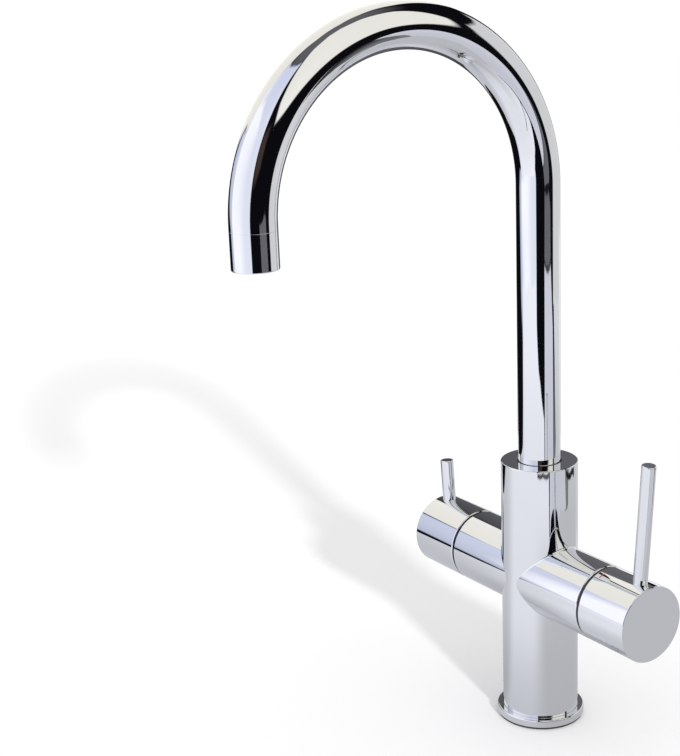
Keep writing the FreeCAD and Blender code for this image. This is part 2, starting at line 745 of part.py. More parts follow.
def mixer_moving_disc():
    """Moving ceramic disc with the channel that joins the ports."""
    low = mixer_disc_start() + DISC_THICKNESS
    disc = rod(DISC_RADIUS - DISC_PLAY, low, low + DISC_THICKNESS)
    outer = DISC_RADIUS - DISC_PLAY - DISC_EDGE
    channel = ring(outer, outer - CHANNEL_WIDTH, low, low + CHANNEL_DEPTH)
    half = Part.makeBox(DISC_RADIUS, 2 * DISC_RADIUS, DISC_THICKNESS, Vector(0, -DISC_RADIUS, low))
    return disc.cut(channel.common(half))


def driver_start():
    """Distance along the arm to the mixing stem's driving flange."""
    return mixer_disc_start() + 2 * DISC_THICKNESS


def mixer_lid_start():
    """Distance along the arm to the inside of the cartridge's lid."""
    return mixer_disc_start() + CARTRIDGE_CAP - CARTRIDGE_LID


def mixer_cartridge_cap():
    """Housing of the mixing cartridge, closed by a lid with the stem's hole."""
    low = mixer_disc_start()
    high = low + CARTRIDGE_CAP
    cap = rod(CARTRIDGE_RADIUS, low, high)
    inside = rod(DISC_RADIUS, low, mixer_lid_start())
    hole = rod(STEM_RADIUS + RUNNING, low, high)
    return cap.cut([inside, hole])


def mixer_thrust_washer():
    """Low-friction washer between the driving flange and the lid."""
    low = driver_start() + DISC_THICKNESS
    return ring(DISC_RADIUS - FLANGE_PLAY, STEM_RADIUS + FREE, low, mixer_lid_start())


def stem(foot, flange, flange_length, length, groove):
    """Valve stem with a driving flange, a seal groove and a toothed end."""
    boss = handle_boss(length)
    teeth = boss - STEM_MARGIN
    shaft = rod(flange, foot, foot + flange_length).fuse(rod(STEM_RADIUS, foot + flange_length, teeth))
    shaft = shaft.cut(seal_groove(STEM_RADIUS, STEM_SEAL, groove))
    return shaft.fuse(spline(SPLINE_RADIUS, teeth, boss + STEM_ENTRY))


def stem_seal(groove):
    """Seal in a stem's groove."""
    section = STEM_SEAL / 2
    return round_seal(STEM_RADIUS - section, section, groove)


def mixer_groove():
    """Distance along the arm to the seal on the mixing stem."""
    return mixer_lid_start() + CARTRIDGE_LID / 2


def mixer_stem():
    """Stem of the mixing valve."""
    flange = DISC_RADIUS - FLANGE_PLAY
    return stem(driver_start(), flange, DISC_THICKNESS, MIXER_HANDLE_LENGTH, mixer_groove())


def mixer_retaining_nut():
    """Slotted ring nut that holds the mixing cartridge down."""
    low = mixer_disc_start() + CARTRIDGE_CAP
    high = low + NUT_LENGTH
    nut = ring(SOCKET_RADIUS - SEATED, NUT_BORE / 2, low, high)
    corner = Vector(SOCKET_RADIUS - NUT_SLOT_REACH, -NUT_SLOT_WIDTH / 2, high - NUT_SLOT_DEPTH)
    slot = Part.makeBox(SOCKET_RADIUS, NUT_SLOT_WIDTH, NUT_SLOT_DEPTH, corner)
    return nut.cut(around(slot, NUT_SLOTS))


def valve_disc_start():
    """Distance along the arm to the boiling valve's fixed disc."""
    return VALVE_TIP + VALVE_SEAT + VALVE_LIP_LENGTH


def valve_inside():
    """Radius of the space for the discs in the boiling valve."""
    return VALVE_RADIUS - VALVE_CAGE_STEP - VALVE_WALL


def valve_shoulder():
    """Distance along the arm to the inner shoulder of the boiling valve."""
    return valve_disc_start() + 2 * VALVE_DISC + VALVE_FLANGE + FREE


def valve_neck_end():
    """Distance along the arm to the end of the boiling valve's neck."""
    return SOCKET_FLOOR + VALVE_HEX_LENGTH + VALVE_NECK


def boil_valve_body():
    """Brass headwork of the boiling water valve, screwed into the socket's floor."""
    tip = VALVE_TIP + VALVE_SEAT
    inside = valve_inside()
    cage = VALVE_RADIUS - VALVE_CAGE_STEP
    thread = VALVE_RADIUS - SEATED
    thread_start = SOCKET_FLOOR - VALVE_THREAD
    body = turned([
        (inside - VALVE_LIP, tip),
        (cage, tip),
        (cage, thread_start),
        (thread, thread_start),
        (thread, SOCKET_FLOOR),
        (VALVE_NECK_DIAMETER / 2, SOCKET_FLOOR),
        (VALVE_NECK_DIAMETER / 2, valve_neck_end()),
        (STEM_RADIUS + RUNNING, valve_neck_end()),
        (STEM_RADIUS + RUNNING, valve_shoulder()),
        (inside, valve_shoulder()),
        (inside, valve_disc_start()),
        (inside - VALVE_LIP, valve_disc_start()),
    ])
    nut = hexagon(VALVE_HEX, SOCKET_FLOOR, SOCKET_FLOOR + VALVE_HEX_LENGTH)
    hollow = rod(VALVE_NECK_DIAMETER / 2 - VALVE_LIP, SOCKET_FLOOR, SOCKET_FLOOR + VALVE_HEX_LENGTH)
    window_low = valve_disc_start() + VALVE_DISC
    window_length = thread_start - window_low - FREE
    corner = Vector(0, -VALVE_WINDOW / 2, window_low)
    window = Part.makeBox(VALVE_RADIUS, VALVE_WINDOW, window_length, corner)
    return body.fuse(nut.cut(hollow)).cut(around(window, 2))


def boil_seat_seal():
    """Rubber seat ring at the boiling valve's tip."""
    inside = valve_inside() - VALVE_LIP
    return ring(VALVE_RADIUS - VALVE_CAGE_STEP - FREE, inside, VALVE_TIP, VALVE_TIP + VALVE_SEAT)


def valve_disc(low, play):
    """Ceramic disc of the boiling valve with two sector openings."""
    radius = valve_inside() - RUNNING - play
    disc = rod(radius, low, low + VALVE_DISC)
    rim = radius - SECTOR_RIM
    high = low + VALVE_DISC
    outline = [(SECTOR_HUB, low), (rim, low), (rim, high), (SECTOR_HUB, high)]
    sector = turned(outline, -SECTOR_ANGLE / 2, SECTOR_ANGLE)
    return disc.cut(around(sector, 2))


def boil_fixed_disc():
    """Fixed ceramic disc of the boiling valve."""
    return valve_disc(valve_disc_start(), 0)


def boil_moving_disc():
    """Moving ceramic disc of the boiling valve, a quarter turn from open."""
    disc = valve_disc(valve_disc_start() + VALVE_DISC, VALVE_PLAY)
    disc.rotate(ORIGIN, Z, 90)
    return disc


def boil_groove():
    """Distance along the arm to the seal on the boiling valve's stem."""
    return SOCKET_FLOOR + VALVE_HEX_LENGTH + VALVE_NECK / 2


def boil_stem():
    """Stem of the boiling water valve, grooved for its clip."""
    foot = valve_disc_start() + 2 * VALVE_DISC
    whole = stem(foot, valve_inside() - VALVE_PLAY, VALVE_FLANGE, BOIL_HANDLE_LENGTH, boil_groove())
    low = valve_neck_end() + RUNNING
    high = low + CLIP_THICKNESS + 2 * RUNNING
    return whole.cut(ring(STEM_RADIUS + CLIP_GROOVE, STEM_RADIUS - CLIP_GROOVE, low, high))


def boil_circlip():
    """Open spring clip that keeps the boiling valve's stem in."""
    low = valve_neck_end() + 2 * RUNNING
    inner = STEM_RADIUS - CLIP_GROOVE + SEATED
    outer = inner + CLIP_WIDTH
    mouth = Part.makeBox(2 * outer, CLIP_MOUTH, CLIP_THICKNESS, Vector(0, -CLIP_MOUTH / 2, low))
    return ring(outer, inner, low, low + CLIP_THICKNESS).cut(mouth)


def spring_seat_start():
    """Distance along the arm to the fixed seat of the return spring."""
    return ARM_END - GLIDE_DEPTH - SPRING_SEAT_LENGTH


def boil_spring_seat():
    """Plate in the left socket that holds the fixed leg of the return spring."""
    low = spring_seat_start()
    high = low + SPRING_SEAT_LENGTH
    plate = ring(SOCKET_RADIUS - SEATED, STEM_RADIUS + CLIP_WIDTH, low, high)
    leg = spring_corners()[0]
    hole = Vector(leg.x, leg.y, low)
    return plate.cut(bore(SPRING_HOLE_RADIUS, hole, hole.add(Vector(0, 0, SPRING_SEAT_LENGTH))))


def tangent_arc(start, corner, end):
    """Arc that leaves one point towards a corner and reaches the other from it."""
    first = start.sub(corner)
    second = end.sub(corner)
    half = first.getAngle(second) / 2
    middle = first.add(second).normalize()
    distance = first.Length / math.cos(half) - first.Length * math.tan(half)
    return Part.Arc(start, corner.add(middle.multiply(distance)), end).toShape()


def biarc(start, leaving, end, arriving):
    """Two arcs that meet smoothly between two points with given directions."""
    chord = end.sub(start)
    along = chord.dot(leaving.add(arriving))
    bend = 2 * (1 - leaving.dot(arriving))
    length = (math.sqrt(along * along + bend * chord.dot(chord)) - along) / bend
    near = start.add(Vector(leaving).multiply(length))
    far = end.sub(Vector(arriving).multiply(length))
    joint = near.add(far).multiply(0.5)
    return [tangent_arc(start, near, joint), tangent_arc(joint, far, end)]


def coil_point(angle):
    """Place on the return spring's coil at an angle, and its direction there."""
    radius = SPRING_DIAMETER / 2
    rise = SPRING_PITCH / (2 * math.pi)
    low = spring_seat_start() + SPRING_SEAT_LENGTH + SPRING_GAP + SPRING_WIRE
    place = Vector(radius * math.cos(angle), radius * math.sin(angle), low + rise * angle)
    heading = Vector(-radius * math.sin(angle), radius * math.cos(angle), rise).normalize()
    return place, heading


def spring_corners():
    """Points where the lines of the coil's two ends meet the lines of its legs."""
    first, first_heading = coil_point(0)
    last, last_heading = coil_point(SPRING_SWEEP)
    inner = first.sub(first_heading.multiply(SPRING_BEND))
    outer = last.add(last_heading.multiply(SPRING_BEND))
    return inner, outer


def boil_return_spring():
    """Torsion spring that turns the boiling handle back, its legs along the stem."""
    steps = 4 * SPRING_TURNS - 1
    points = [coil_point(SPRING_SWEEP * step / steps) for step in range(steps + 1)]
    edges = []
    for (start, leaving), (end, arriving) in zip(points, points[1:]):
        edges.extend(biarc(start, leaving, end, arriving))

    # The legs run along the arm and meet the coil in a bend.
    inner, outer = spring_corners()
    inner_bend = inner.sub(Vector(0, 0, SPRING_BEND))
    outer_bend = outer.add(Vector(0, 0, SPRING_BEND))
    inner_end = Vector(inner.x, inner.y, spring_seat_start() + FREE)
    outer_end = Vector(outer.x, outer.y, handle_boss(BOIL_HANDLE_LENGTH) + SPRING_PLATE - FREE)
    edges.insert(0, tangent_arc(inner_bend, inner, points[0][0]))
    edges.insert(0, Part.makeLine(inner_end, inner_bend))
    edges.append(tangent_arc(points[-1][0], outer, outer_bend))
    edges.append(Part.makeLine(outer_bend, outer_end))
    section = Part.Wire(Part.makeCircle(SPRING_WIRE / 2, inner_end, Z))
    return Part.Wire(edges).makePipeShell([section], True, False)


mixer_shell = handle(MIXER_HANDLE_LENGTH, MIXER_LEVER_INSET, False).cut(mark_cutter(0, MARK_DEPTH + SEATED))
boil_shell = handle(BOIL_HANDLE_LENGTH, BOIL_LEVER_INSET, True)

standing = {
    "body_casting": body_casting(),
    "base_ring": base_ring(),
    "base_gasket": base_gasket(),
    "spout_bush": spout_bush(),
    "spout_slip_washer": spout_slip_washer(),
    "spout_locking_screw": lock_screw(),
    "boil_tube_seal": boil_tube_seal(),
    "spout_tube": spout_tube(),
    "spout_foot": spout_foot(),
    "spout_orings": spout_orings(),
    "boil_inner_tube": boil_inner_tube(),
    "nozzle_sleeve": nozzle_sleeve(),
    "nozzle_oring": nozzle_oring(),
    "flow_straightener": flow_straightener(),
}

right_arm = {
    "mixer_cartridge_base": mixer_cartridge_base(),
    "mixer_port_seals": mixer_port_seals(),
    "mixer_fixed_disc": mixer_fixed_disc(),
    "mixer_moving_disc": mixer_moving_disc(),
    "mixer_cartridge_cap": mixer_cartridge_cap(),
    "mixer_thrust_washer": mixer_thrust_washer(),
    "mixer_retaining_nut": mixer_retaining_nut(),
    "mixer_stem": mixer_stem(),
    "mixer_stem_oring": stem_seal(mixer_groove()),
    "mixer_glide_ring": glide_ring(),
    "mixer_handle": mixer_shell,
    "mixer_lever": lever(MIXER_HANDLE_LENGTH, MIXER_LEVER_INSET, MIXER_LEVER_LENGTH),
    "mixer_grub_screw": grub_screw(MIXER_HANDLE_LENGTH),
    "hot_mark": hot_mark(),
}

left_arm = {
    "boil_seat_seal": boil_seat_seal(),
    "boil_valve_body": boil_valve_body(),
    "boil_fixed_disc": boil_fixed_disc(),
    "boil_moving_disc": boil_moving_disc(),
    "boil_stem": boil_stem(),
    "boil_stem_oring": stem_seal(boil_groove()),
    "boil_circlip": boil_circlip(),
    "boil_spring_seat": boil_spring_seat(),
    "boil_return_spring": boil_return_spring(),
    "boil_glide_ring": glide_ring(),
    "boil_handle": boil_shell,
    "boil_lever": lever(BOIL_HANDLE_LENGTH, BOIL_LEVER_INSET, BOIL_LEVER_LENGTH),
    "boil_grub_screw": grub_screw(BOIL_HANDLE_LENGTH),
}

pieces = dict(standing)
for name, solid in right_arm.items():
    pieces[name] = on_arm(solid, RIGHT)
for name, solid in left_arm.items():
    pieces[name] = on_arm(solid, LEFT)

os.makedirs("parts", exist_ok=True)
for name, solid in pieces.items():
    solid.exportStep("parts/" + name + ".step")
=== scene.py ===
"""Looks of a chromed boiling water tap on a white table in a small photo studio.

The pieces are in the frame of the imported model: metres, +Z up, the spout points to -Y, the
mixing handle is on +X and the boiling water handle on -X. Sizes in the classes are millimetres.
"""

import json
import logging
import math
from dataclasses import dataclass
from enum import Enum
from itertools import product
from typing import Callable, Iterable, Sequence

import bpy
from mathutils import Matrix, Vector
from mathutils.geometry import delaunay_2d_cdt, tessellate_polygon


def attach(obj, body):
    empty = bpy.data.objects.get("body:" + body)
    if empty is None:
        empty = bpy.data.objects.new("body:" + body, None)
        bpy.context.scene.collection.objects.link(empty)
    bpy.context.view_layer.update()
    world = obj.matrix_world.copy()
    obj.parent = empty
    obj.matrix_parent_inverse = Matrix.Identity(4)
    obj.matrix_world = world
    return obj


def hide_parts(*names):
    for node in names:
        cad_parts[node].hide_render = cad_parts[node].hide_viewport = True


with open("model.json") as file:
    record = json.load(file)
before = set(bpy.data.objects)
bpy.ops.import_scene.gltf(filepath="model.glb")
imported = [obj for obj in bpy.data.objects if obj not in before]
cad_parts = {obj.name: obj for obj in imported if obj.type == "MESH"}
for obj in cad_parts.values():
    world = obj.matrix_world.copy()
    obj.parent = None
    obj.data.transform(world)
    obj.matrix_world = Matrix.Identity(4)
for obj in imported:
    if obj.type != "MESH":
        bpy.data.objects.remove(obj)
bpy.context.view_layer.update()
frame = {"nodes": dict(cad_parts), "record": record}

MM = 0.001
WELD_STEPS = 1000.0
SHARP_ANGLE = 40.0
STRAIGHT = 1e-6
TOUCHING = 1e-5
ARM = 22.25
ARM_HEIGHT = 91.3
UPRIGHT = Matrix.Identity(4)
log = logging.getLogger("tap")

Node = bpy.types.Node
Socket = bpy.types.NodeSocket
Material = bpy.types.Material
Corner = tuple[Vector, Vector]
Pair = tuple[float, float]
Triple = tuple[float, float, float]
Colour = Triple
Paint = Colour | Socket
Sample = tuple[float, float, float, float]


class Side(Enum):
    """Arm of the casting, by the sign of its X."""

    RIGHT = 1
    LEFT = -1


class Body(Enum):
    """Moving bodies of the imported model."""

    BASE = "base"
    SPOUT = "spout"
    MIXER = "mixer_control"
    BOIL = "boil_control"


class Slot(Enum):
    """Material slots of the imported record."""

    CHROME_BODY = "chrome_body"
    CHROME_SPOUT = "chrome_spout"
    CHROME_HANDLE = "chrome_handle"
    BRASS = "brass"
    STEEL = "steel"
    RUBBER = "rubber"
    DARK_PLASTIC = "dark_plastic"
    WHITE_PLASTIC = "white_plastic"
    CARTRIDGE_PLASTIC = "cartridge_plastic"
    CERAMIC = "ceramic"
    RED_ENAMEL = "red_enamel"


def operation(name: str, reflected: bool = False) -> Callable[..., "Value"]:
    """Makes a method of Value that adds one Math node.

    Args:
        name: The node's operation.
        reflected: Whether the number itself is the last operand.

    Returns:
        The method.
    """

    def method(number: "Value", *others: "Value | float") -> "Value":
        """Result of the Math node on the number and the other operands.

        Args:
            number: The number whose method this is.
            others: The other operands.

        Returns:
            The node's result.
        """
        operands = (*others, number) if reflected else (number, *others)
        return number.tree.value("ShaderNodeMath", dict(enumerate(operands)), operation=name)

    return method


class Value:
    """A number in a node tree: arithmetic on it adds Math nodes."""

    __add__ = __radd__ = operation("ADD")
    __sub__ = operation("SUBTRACT")
    __rsub__ = operation("SUBTRACT", reflected=True)
    __mul__ = __rmul__ = operation("MULTIPLY")
    __truediv__ = operation("DIVIDE")
    __rtruediv__ = operation("DIVIDE", reflected=True)
    at_most = operation("MINIMUM")
    at_least = operation("MAXIMUM")
    sine = operation("SINE")
    cosine = operation("COSINE")

    def __init__(self, tree: "Tree", socket: Socket) -> None:
        """Keeps the tree and the socket that holds the number."""
        self.tree = tree
        self.socket = socket

    def ramp(self, low: float, high: float) -> "Value":
        """Smooth rise from 0 at the low value to 1 at the high one."""
        sockets = {0: self, 1: low, 2: high, 3: 0.0, 4: 1.0}
        return self.tree.value("ShaderNodeMapRange", sockets, interpolation_type="SMOOTHSTEP")


class Tree:
    """A node tree with one plain way to add nodes."""

    def __init__(self, nodes: bpy.types.NodeTree) -> None:
        """Takes a node tree."""
        self.nodes = nodes

    def add(self, kind: str, sockets: dict | None = None, **settings: object) -> Node:
        """Adds a node.

        Args:
            kind: Type of the node.
            sockets: Values or links of its input sockets, by name or place.
            settings: The node's own settings, set first.

        Returns:
            The new node.
        """
        node = self.nodes.nodes.new(kind)
        for key, value in settings.items():
            setattr(node, key, value)
        for key, value in (sockets or {}).items():
            self.feed(node.inputs[key], value)
        return node

    def feed(self, socket: Socket, value: object) -> None:
        """Links or sets one input socket.

        Args:
            socket: The input socket.
            value: A Value, a node's output, a node for its first output, or a plain value.
        """
        if isinstance(value, Value):
            value = value.socket
        if isinstance(value, Node):
            value = value.outputs[0]
        if isinstance(value, Socket):
            self.nodes.links.new(value, socket)
        else:
            socket.default_value = value

    def value(self, kind: str, sockets: dict | None = None, out: int = 0, **settings: object) -> Value:
        """Adds a node as add does and wraps the output at one place."""
        return Value(self, self.add(kind, sockets, **settings).outputs[out])


class Shader(Tree):
    """Node tree of a new material that reads the piece's own Object coordinates."""

    def __init__(self, name: str) -> None:
        """Makes the material with a bare tree.

        Args:
            name: Name of the material.
        """
        self.material = bpy.data.materials.new(name)
        self.material.use_nodes = True
        super().__init__(self.material.node_tree)
        self.nodes.nodes.clear()
        self.output = self.add("ShaderNodeOutputMaterial")
        self.place = self.add("ShaderNodeTexCoord").outputs["Object"]

    def noise(self, scale: float, detail: float = 2.0, stretch: Triple = (1.0, 1.0, 1.0)) -> Value:
        """Cloudy pattern over the surface.

        Args:
            scale: Blotches per metre.
            detail: Number of finer layers.
            stretch: Factors on the three axes.

        Returns:
            A number about 0.5.
        """
        mapped = self.add("ShaderNodeMapping", {"Vector": self.place, "Scale": stretch})
        sockets = {"Vector": mapped, "Scale": scale, "Detail": detail, "Roughness": 0.55}
        return self.value("ShaderNodeTexNoise", sockets)

    def blend(self, mask: Value, first: Paint, second: Paint) -> Socket:
        """Mixes two colours.

        Args:
            mask: 0 for the first colour, 1 for the second.
            first: First colour, plain or a socket.
            second: Second colour, plain or a socket.

        Returns:
            The colour socket of the mix.
        """
        sockets = {0: mask}
        for place, paint in ((6, first), (7, second)):
            sockets[place] = (*paint, 1.0) if isinstance(paint, tuple) else paint
        return self.add("ShaderNodeMix", sockets, data_type="RGBA").outputs[2]

    def bump(self, height: Value, depth: float) -> Node:
        """Normal of a surface with relief from 0 to 1 times a depth in metres."""
        return self.add("ShaderNodeBump", {"Strength": 1.0, "Distance": depth, "Height": height})

    def surface(self, kind: str, sockets: dict) -> None:
        """Ends the material in one kind of shader with the given sockets."""
        self.feed(self.output.inputs["Surface"], self.add(kind, sockets))

    def principled(self, sockets: dict) -> None:
        """Ends the material in the common surface shader."""
        self.surface("ShaderNodeBsdfPrincipled", sockets)

    def glow(self, tone: Socket) -> None:
        """Ends the material in plain light of a tone, which isn't sampled as a lamp."""
        self.material.cycles.emission_sampling = "NONE"
        self.surface("ShaderNodeEmission", {"Color": tone})


class Grower(Tree):
    """Geometry node group with named inputs that is grown into a piece with a plain mesh."""

    KINDS = {int: "Int", float: "Float", tuple: "Vector", Material: "Material"}

    def __init__(self, name: str, slot: Slot, inputs: dict[str, object]) -> None:
        """Makes the group.

        Args:
            name: Name of the group and of its piece.
            slot: Slot of the piece's finish.
            inputs: Value of each named input.
        """
        group = bpy.data.node_groups.new(name, "GeometryNodeTree")
        super().__init__(group)
        group.interface.new_socket("Geometry", in_out="OUTPUT", socket_type="NodeSocketGeometry")
        self.slot = slot
        self.values: dict[str, object] = {}
        for label, value in {**inputs, "Finish": finish_of(slot)}.items():
            kind = "NodeSocket" + self.KINDS[type(value)]
            socket = group.interface.new_socket(label, in_out="INPUT", socket_type=kind)
            self.values[socket.identifier] = value
        self.given = self.add("NodeGroupInput").outputs

    def number(self, label: str) -> Value:
        """A named input as a number to count with."""
        return Value(self, self.given[label])

    def ring(self, resolution: Socket | int, radius: Socket | float) -> Node:
        """Adds a round curve."""
        return self.add("GeometryNodeCurvePrimitiveCircle", {"Resolution": resolution, "Radius": radius})

    def sweep(self, path: Node, profile: Node, caps: bool = False) -> Node:
        """Carries a profile along a path, with closed ends where caps is set."""
        sockets = {"Curve": path, "Profile Curve": profile, "Fill Caps": caps}
        return self.add("GeometryNodeCurveToMesh", sockets)

    def smooth(self, mesh: Node) -> Node:
        """Shades a mesh smooth."""
        return self.add("GeometryNodeSetShadeSmooth", {"Geometry": mesh})

    def repeat(self, points: Node, shape: Node) -> Node:
        """Sets a shape on each point."""
        return self.add("GeometryNodeInstanceOnPoints", {"Points": points, "Instance": shape})

    def joined(self, *parts: Node) -> Node:
        """Puts several shapes together.

        Args:
            parts: Nodes of the shapes.

        Returns:
            Node of the whole.
        """
        both = self.add("GeometryNodeJoinGeometry")
        for part in parts:
            self.feed(both.inputs[0], part)
        return both

    def grow(self, last: Node, body: Body, *nodes: str) -> None:
        """Ends the group in real, dressed geometry and makes the piece from it.

        Args:
            last: Node whose first output is the geometry.
            body: Body that the piece rides on.
            nodes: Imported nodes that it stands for.
        """
        real = self.add("GeometryNodeRealizeInstances", {"Geometry": last})
        dressed = self.add("GeometryNodeSetMaterial", {"Geometry": real, "Material": self.given["Finish"]})
        self.add("NodeGroupOutput", {0: dressed})
        name = self.nodes.name
        holder = bpy.data.objects.new(name + "_holder", bpy.data.meshes.new(name + "_holder"))
        bpy.context.scene.collection.objects.link(holder)
        modifier = holder.modifiers.new("grown", "NODES")
        modifier.node_group = self.nodes
        for identifier, value in self.values.items():
            modifier[identifier] = value
        graph = bpy.context.evaluated_depsgraph_get()
        mesh = bpy.data.meshes.new_from_object(holder.evaluated_get(graph))
        mesh.name = name
        holder.modifiers.remove(modifier)
        bpy.data.objects.remove(holder)
        mesh.set_sharp_from_angle(angle=math.radians(SHARP_ANGLE))
        carry(name, mesh, self.slot, body, *nodes)


@dataclass(frozen=True)
class Finish:
    """A finish that dresses a material."""

    def dress(self, shader: Shader) -> None:
        """Adds the finish's nodes; each kind of finish has its own."""
        raise NotImplementedError


@dataclass(frozen=True)
class Chrome(Finish):
    """Polished chrome plate: a mirror with faint smears and the slight ripple of polishing."""

    tint: Colour = (0.79, 0.80, 0.825)
    deep: Colour = (0.765, 0.775, 0.80)
    haze: float = 0.028
    smear: float = 0.03
    grain: float = 0.012
    ripple: float = 4e-6

    def dress(self, shader: Shader) -> None:
        """Cloudy tint, smears in the roughness and a wide, shallow ripple.

        Args:
            shader: The material.
        """
        cloud = shader.noise(scale=38.0, detail=3.0)
        smears = shader.noise(scale=120.0, detail=4.0, stretch=(1.0, 1.0, 0.35)).ramp(low=0.55, high=0.8)
        grain = shader.noise(scale=2200.0, detail=1.0)
        shader.principled({
            "Base Color": shader.blend(cloud, self.deep, self.tint),
            "Metallic": 1.0,
            "Roughness": smears * self.smear + grain * self.grain + self.haze,
            "Normal": shader.bump(shader.noise(scale=55.0, detail=0.0), self.ripple),
        })


@dataclass(frozen=True)
class Brass(Finish):
    """Machined brass with turning marks and a little tarnish."""

    bright: Colour = (0.78, 0.62, 0.35)
    tarnish: Colour = (0.58, 0.42, 0.22)
    haze: float = 0.2
    scoring: float = 0.16
    dulling: float = 0.12
    relief: float = 6e-6

    def dress(self, shader: Shader) -> None:
        """Fine level marks and blotches of tarnish.

        Args:
            shader: The material.
        """
        blotch = shader.noise(scale=240.0, detail=4.0).ramp(low=0.45, high=0.8)
        marks = shader.noise(scale=900.0, stretch=(1.0, 1.0, 6.0))
        shader.principled({
            "Base Color": shader.blend(blotch, self.bright, self.tarnish),
            "Metallic": 1.0,
            "Roughness": marks * self.scoring + blotch * self.dulling + self.haze,
            "Normal": shader.bump(marks, self.relief),
        })


@dataclass(frozen=True)
class Steel(Finish):
    """Drawn stainless steel with upright streaks."""

    light: Colour = (0.66, 0.67, 0.69)
    dark: Colour = (0.5, 0.51, 0.54)
    haze: float = 0.18
    scoring: float = 0.2
    relief: float = 4e-6

    def dress(self, shader: Shader) -> None:
        """Streaks in the colour, the roughness and the relief.

        Args:
            shader: The material.
        """
        streaks = shader.noise(scale=700.0, detail=3.0, stretch=(1.0, 1.0, 0.15))
        shader.principled({
            "Base Color": shader.blend(streaks, self.dark, self.light),
            "Metallic": 1.0,
            "Roughness": streaks * self.scoring + self.haze,
            "Normal": shader.bump(streaks, self.relief),
        })


@dataclass(frozen=True)
class Moulded(Finish):
    """Moulded rubber, plastic or pressed ceramic with a fine skin."""

    main: Colour
    fleck: Colour
    haze: float
    skin: float = 8e-6
    flecks: float = 0.16
    clouds: float = 0.08
    share: float = 0.6

    def dress(self, shader: Shader) -> None:
        """Flecks in the colour over a finely pitted skin.

        Args:
            shader: The material.
        """
        flecks = shader.noise(scale=1500.0, detail=3.0)
        cloud = shader.noise(scale=90.0)
        mask = flecks * self.share + cloud * (1.0 - self.share)
        shader.principled({
            "Base Color": shader.blend(mask, self.main, self.fleck),
            "Roughness": flecks * self.flecks + cloud * self.clouds + self.haze,
            "Normal": shader.bump(flecks, self.skin),
        })


@dataclass(frozen=True)
class Enamel(Finish):
    """Red enamel, fired smooth, with a clear gloss."""

    main: Colour = (0.5, 0.025, 0.03)
    edge: Colour = (0.36, 0.015, 0.02)
    haze: float = 0.18
    clouds: float = 0.12
    relief: float = 5e-6
    coat: float = 0.6
    coat_haze: float = 0.05

    def dress(self, shader: Shader) -> None:
        """Clouds in the red under a clear coat.

        Args:
            shader: The material.
        """
        cloud = shader.noise(scale=900.0)
        shader.principled({
            "Base Color": shader.blend(cloud, self.edge, self.main),
            "Roughness": cloud * self.clouds + self.haze,
            "Coat Weight": self.coat,
            "Coat Roughness": self.coat_haze,
            "Normal": shader.bump(cloud, self.relief),
        })


FINISHES: dict[Slot, Finish] = {
    Slot.CHROME_BODY: Chrome(),
    Slot.CHROME_SPOUT: Chrome(),
    Slot.CHROME_HANDLE: Chrome(),
    Slot.BRASS: Brass(),
    Slot.STEEL: Steel(),
    Slot.RUBBER: Moulded((0.022, 0.022, 0.023), (0.045, 0.044, 0.043), haze=0.55, skin=1.5e-5),
    Slot.DARK_PLASTIC: Moulded((0.03, 0.03, 0.034), (0.05, 0.05, 0.054), haze=0.38),
    Slot.WHITE_PLASTIC: Moulded((0.82, 0.82, 0.8), (0.88, 0.88, 0.87), haze=0.34),
    Slot.CARTRIDGE_PLASTIC: Moulded((0.5, 0.53, 0.56), (0.58, 0.6, 0.62), haze=0.4),
    Slot.CERAMIC: Moulded((0.86, 0.85, 0.82), (0.92, 0.91, 0.88), haze=0.16, skin=3e-6),
    Slot.RED_ENAMEL: Enamel(),
}


def finish_of(slot: Slot) -> Material:
    """Material of a slot's finish, made once.

    Args:
        slot: The slot.

    Returns:
        The material.
    """
    name = "finish_" + slot.value
    if name not in bpy.data.materials:
        FINISHES[slot].dress(Shader(name))
    return bpy.data.materials[name]


def steps(count: int) -> list[float]:
    """Angles of a full circle, the first repeated at the end."""
    return [2 * math.pi * step / count for step in range(count + 1)]


def between(start: float, end: float, count: int) -> list[float]:
    """Evenly spaced numbers from one value to another, both included."""
    return [start + (end - start) * step / count for step in range(count + 1)]


def circle(radius: float, height: float, count: int) -> list[Vector]:
    """Places round a level circle about the Z axis, none of them repeated."""
    return [Vector((radius * math.cos(a), radius * math.sin(a), height)) for a in steps(count)[:-1]]


def outline(*corners: Sequence[float], arc: int = 6) -> list[Sample]:
    """Samples of a turned outline that is walked with the material on the left.

    Args:
        corners: Radius and height of each corner, and its rounding where it has one.
        arc: Number of steps in each rounding.

    Returns:
        Radius, height and the two parts of the true normal at each sample.
    """
    points = [Vector(corner[:2]) for corner in corners]
    runs = [(after - before).normalized() for before, after in zip(points, points[1:])]
    sides = [Vector((run.y, -run.x)) for run in runs]
    samples = [(*points[0], *sides[0])]
    for number, (_, _, *rounded) in enumerate(corners[1:-1], 1):
        place = points[number]
        rounding = sum(rounded)
        before, after = runs[number - 1:number + 1]
        first, last = sides[number - 1:number + 1]
        bend = before.angle_signed(after) * -1
        if rounding == 0 or abs(bend) < STRAIGHT:
            samples += [(*place, *first), (*place, *last)]
            continue
        reach = math.copysign(rounding, bend)
        centre = place - before * rounding * math.tan(abs(bend) / 2) - first * reach
        for share in between(0, 1, arc):
            normal = Matrix.Rotation(bend * share, 2) @ first
            samples.append((*(centre + normal * reach), *normal))
    return [*samples, (*points[-1], *sides[-1])]


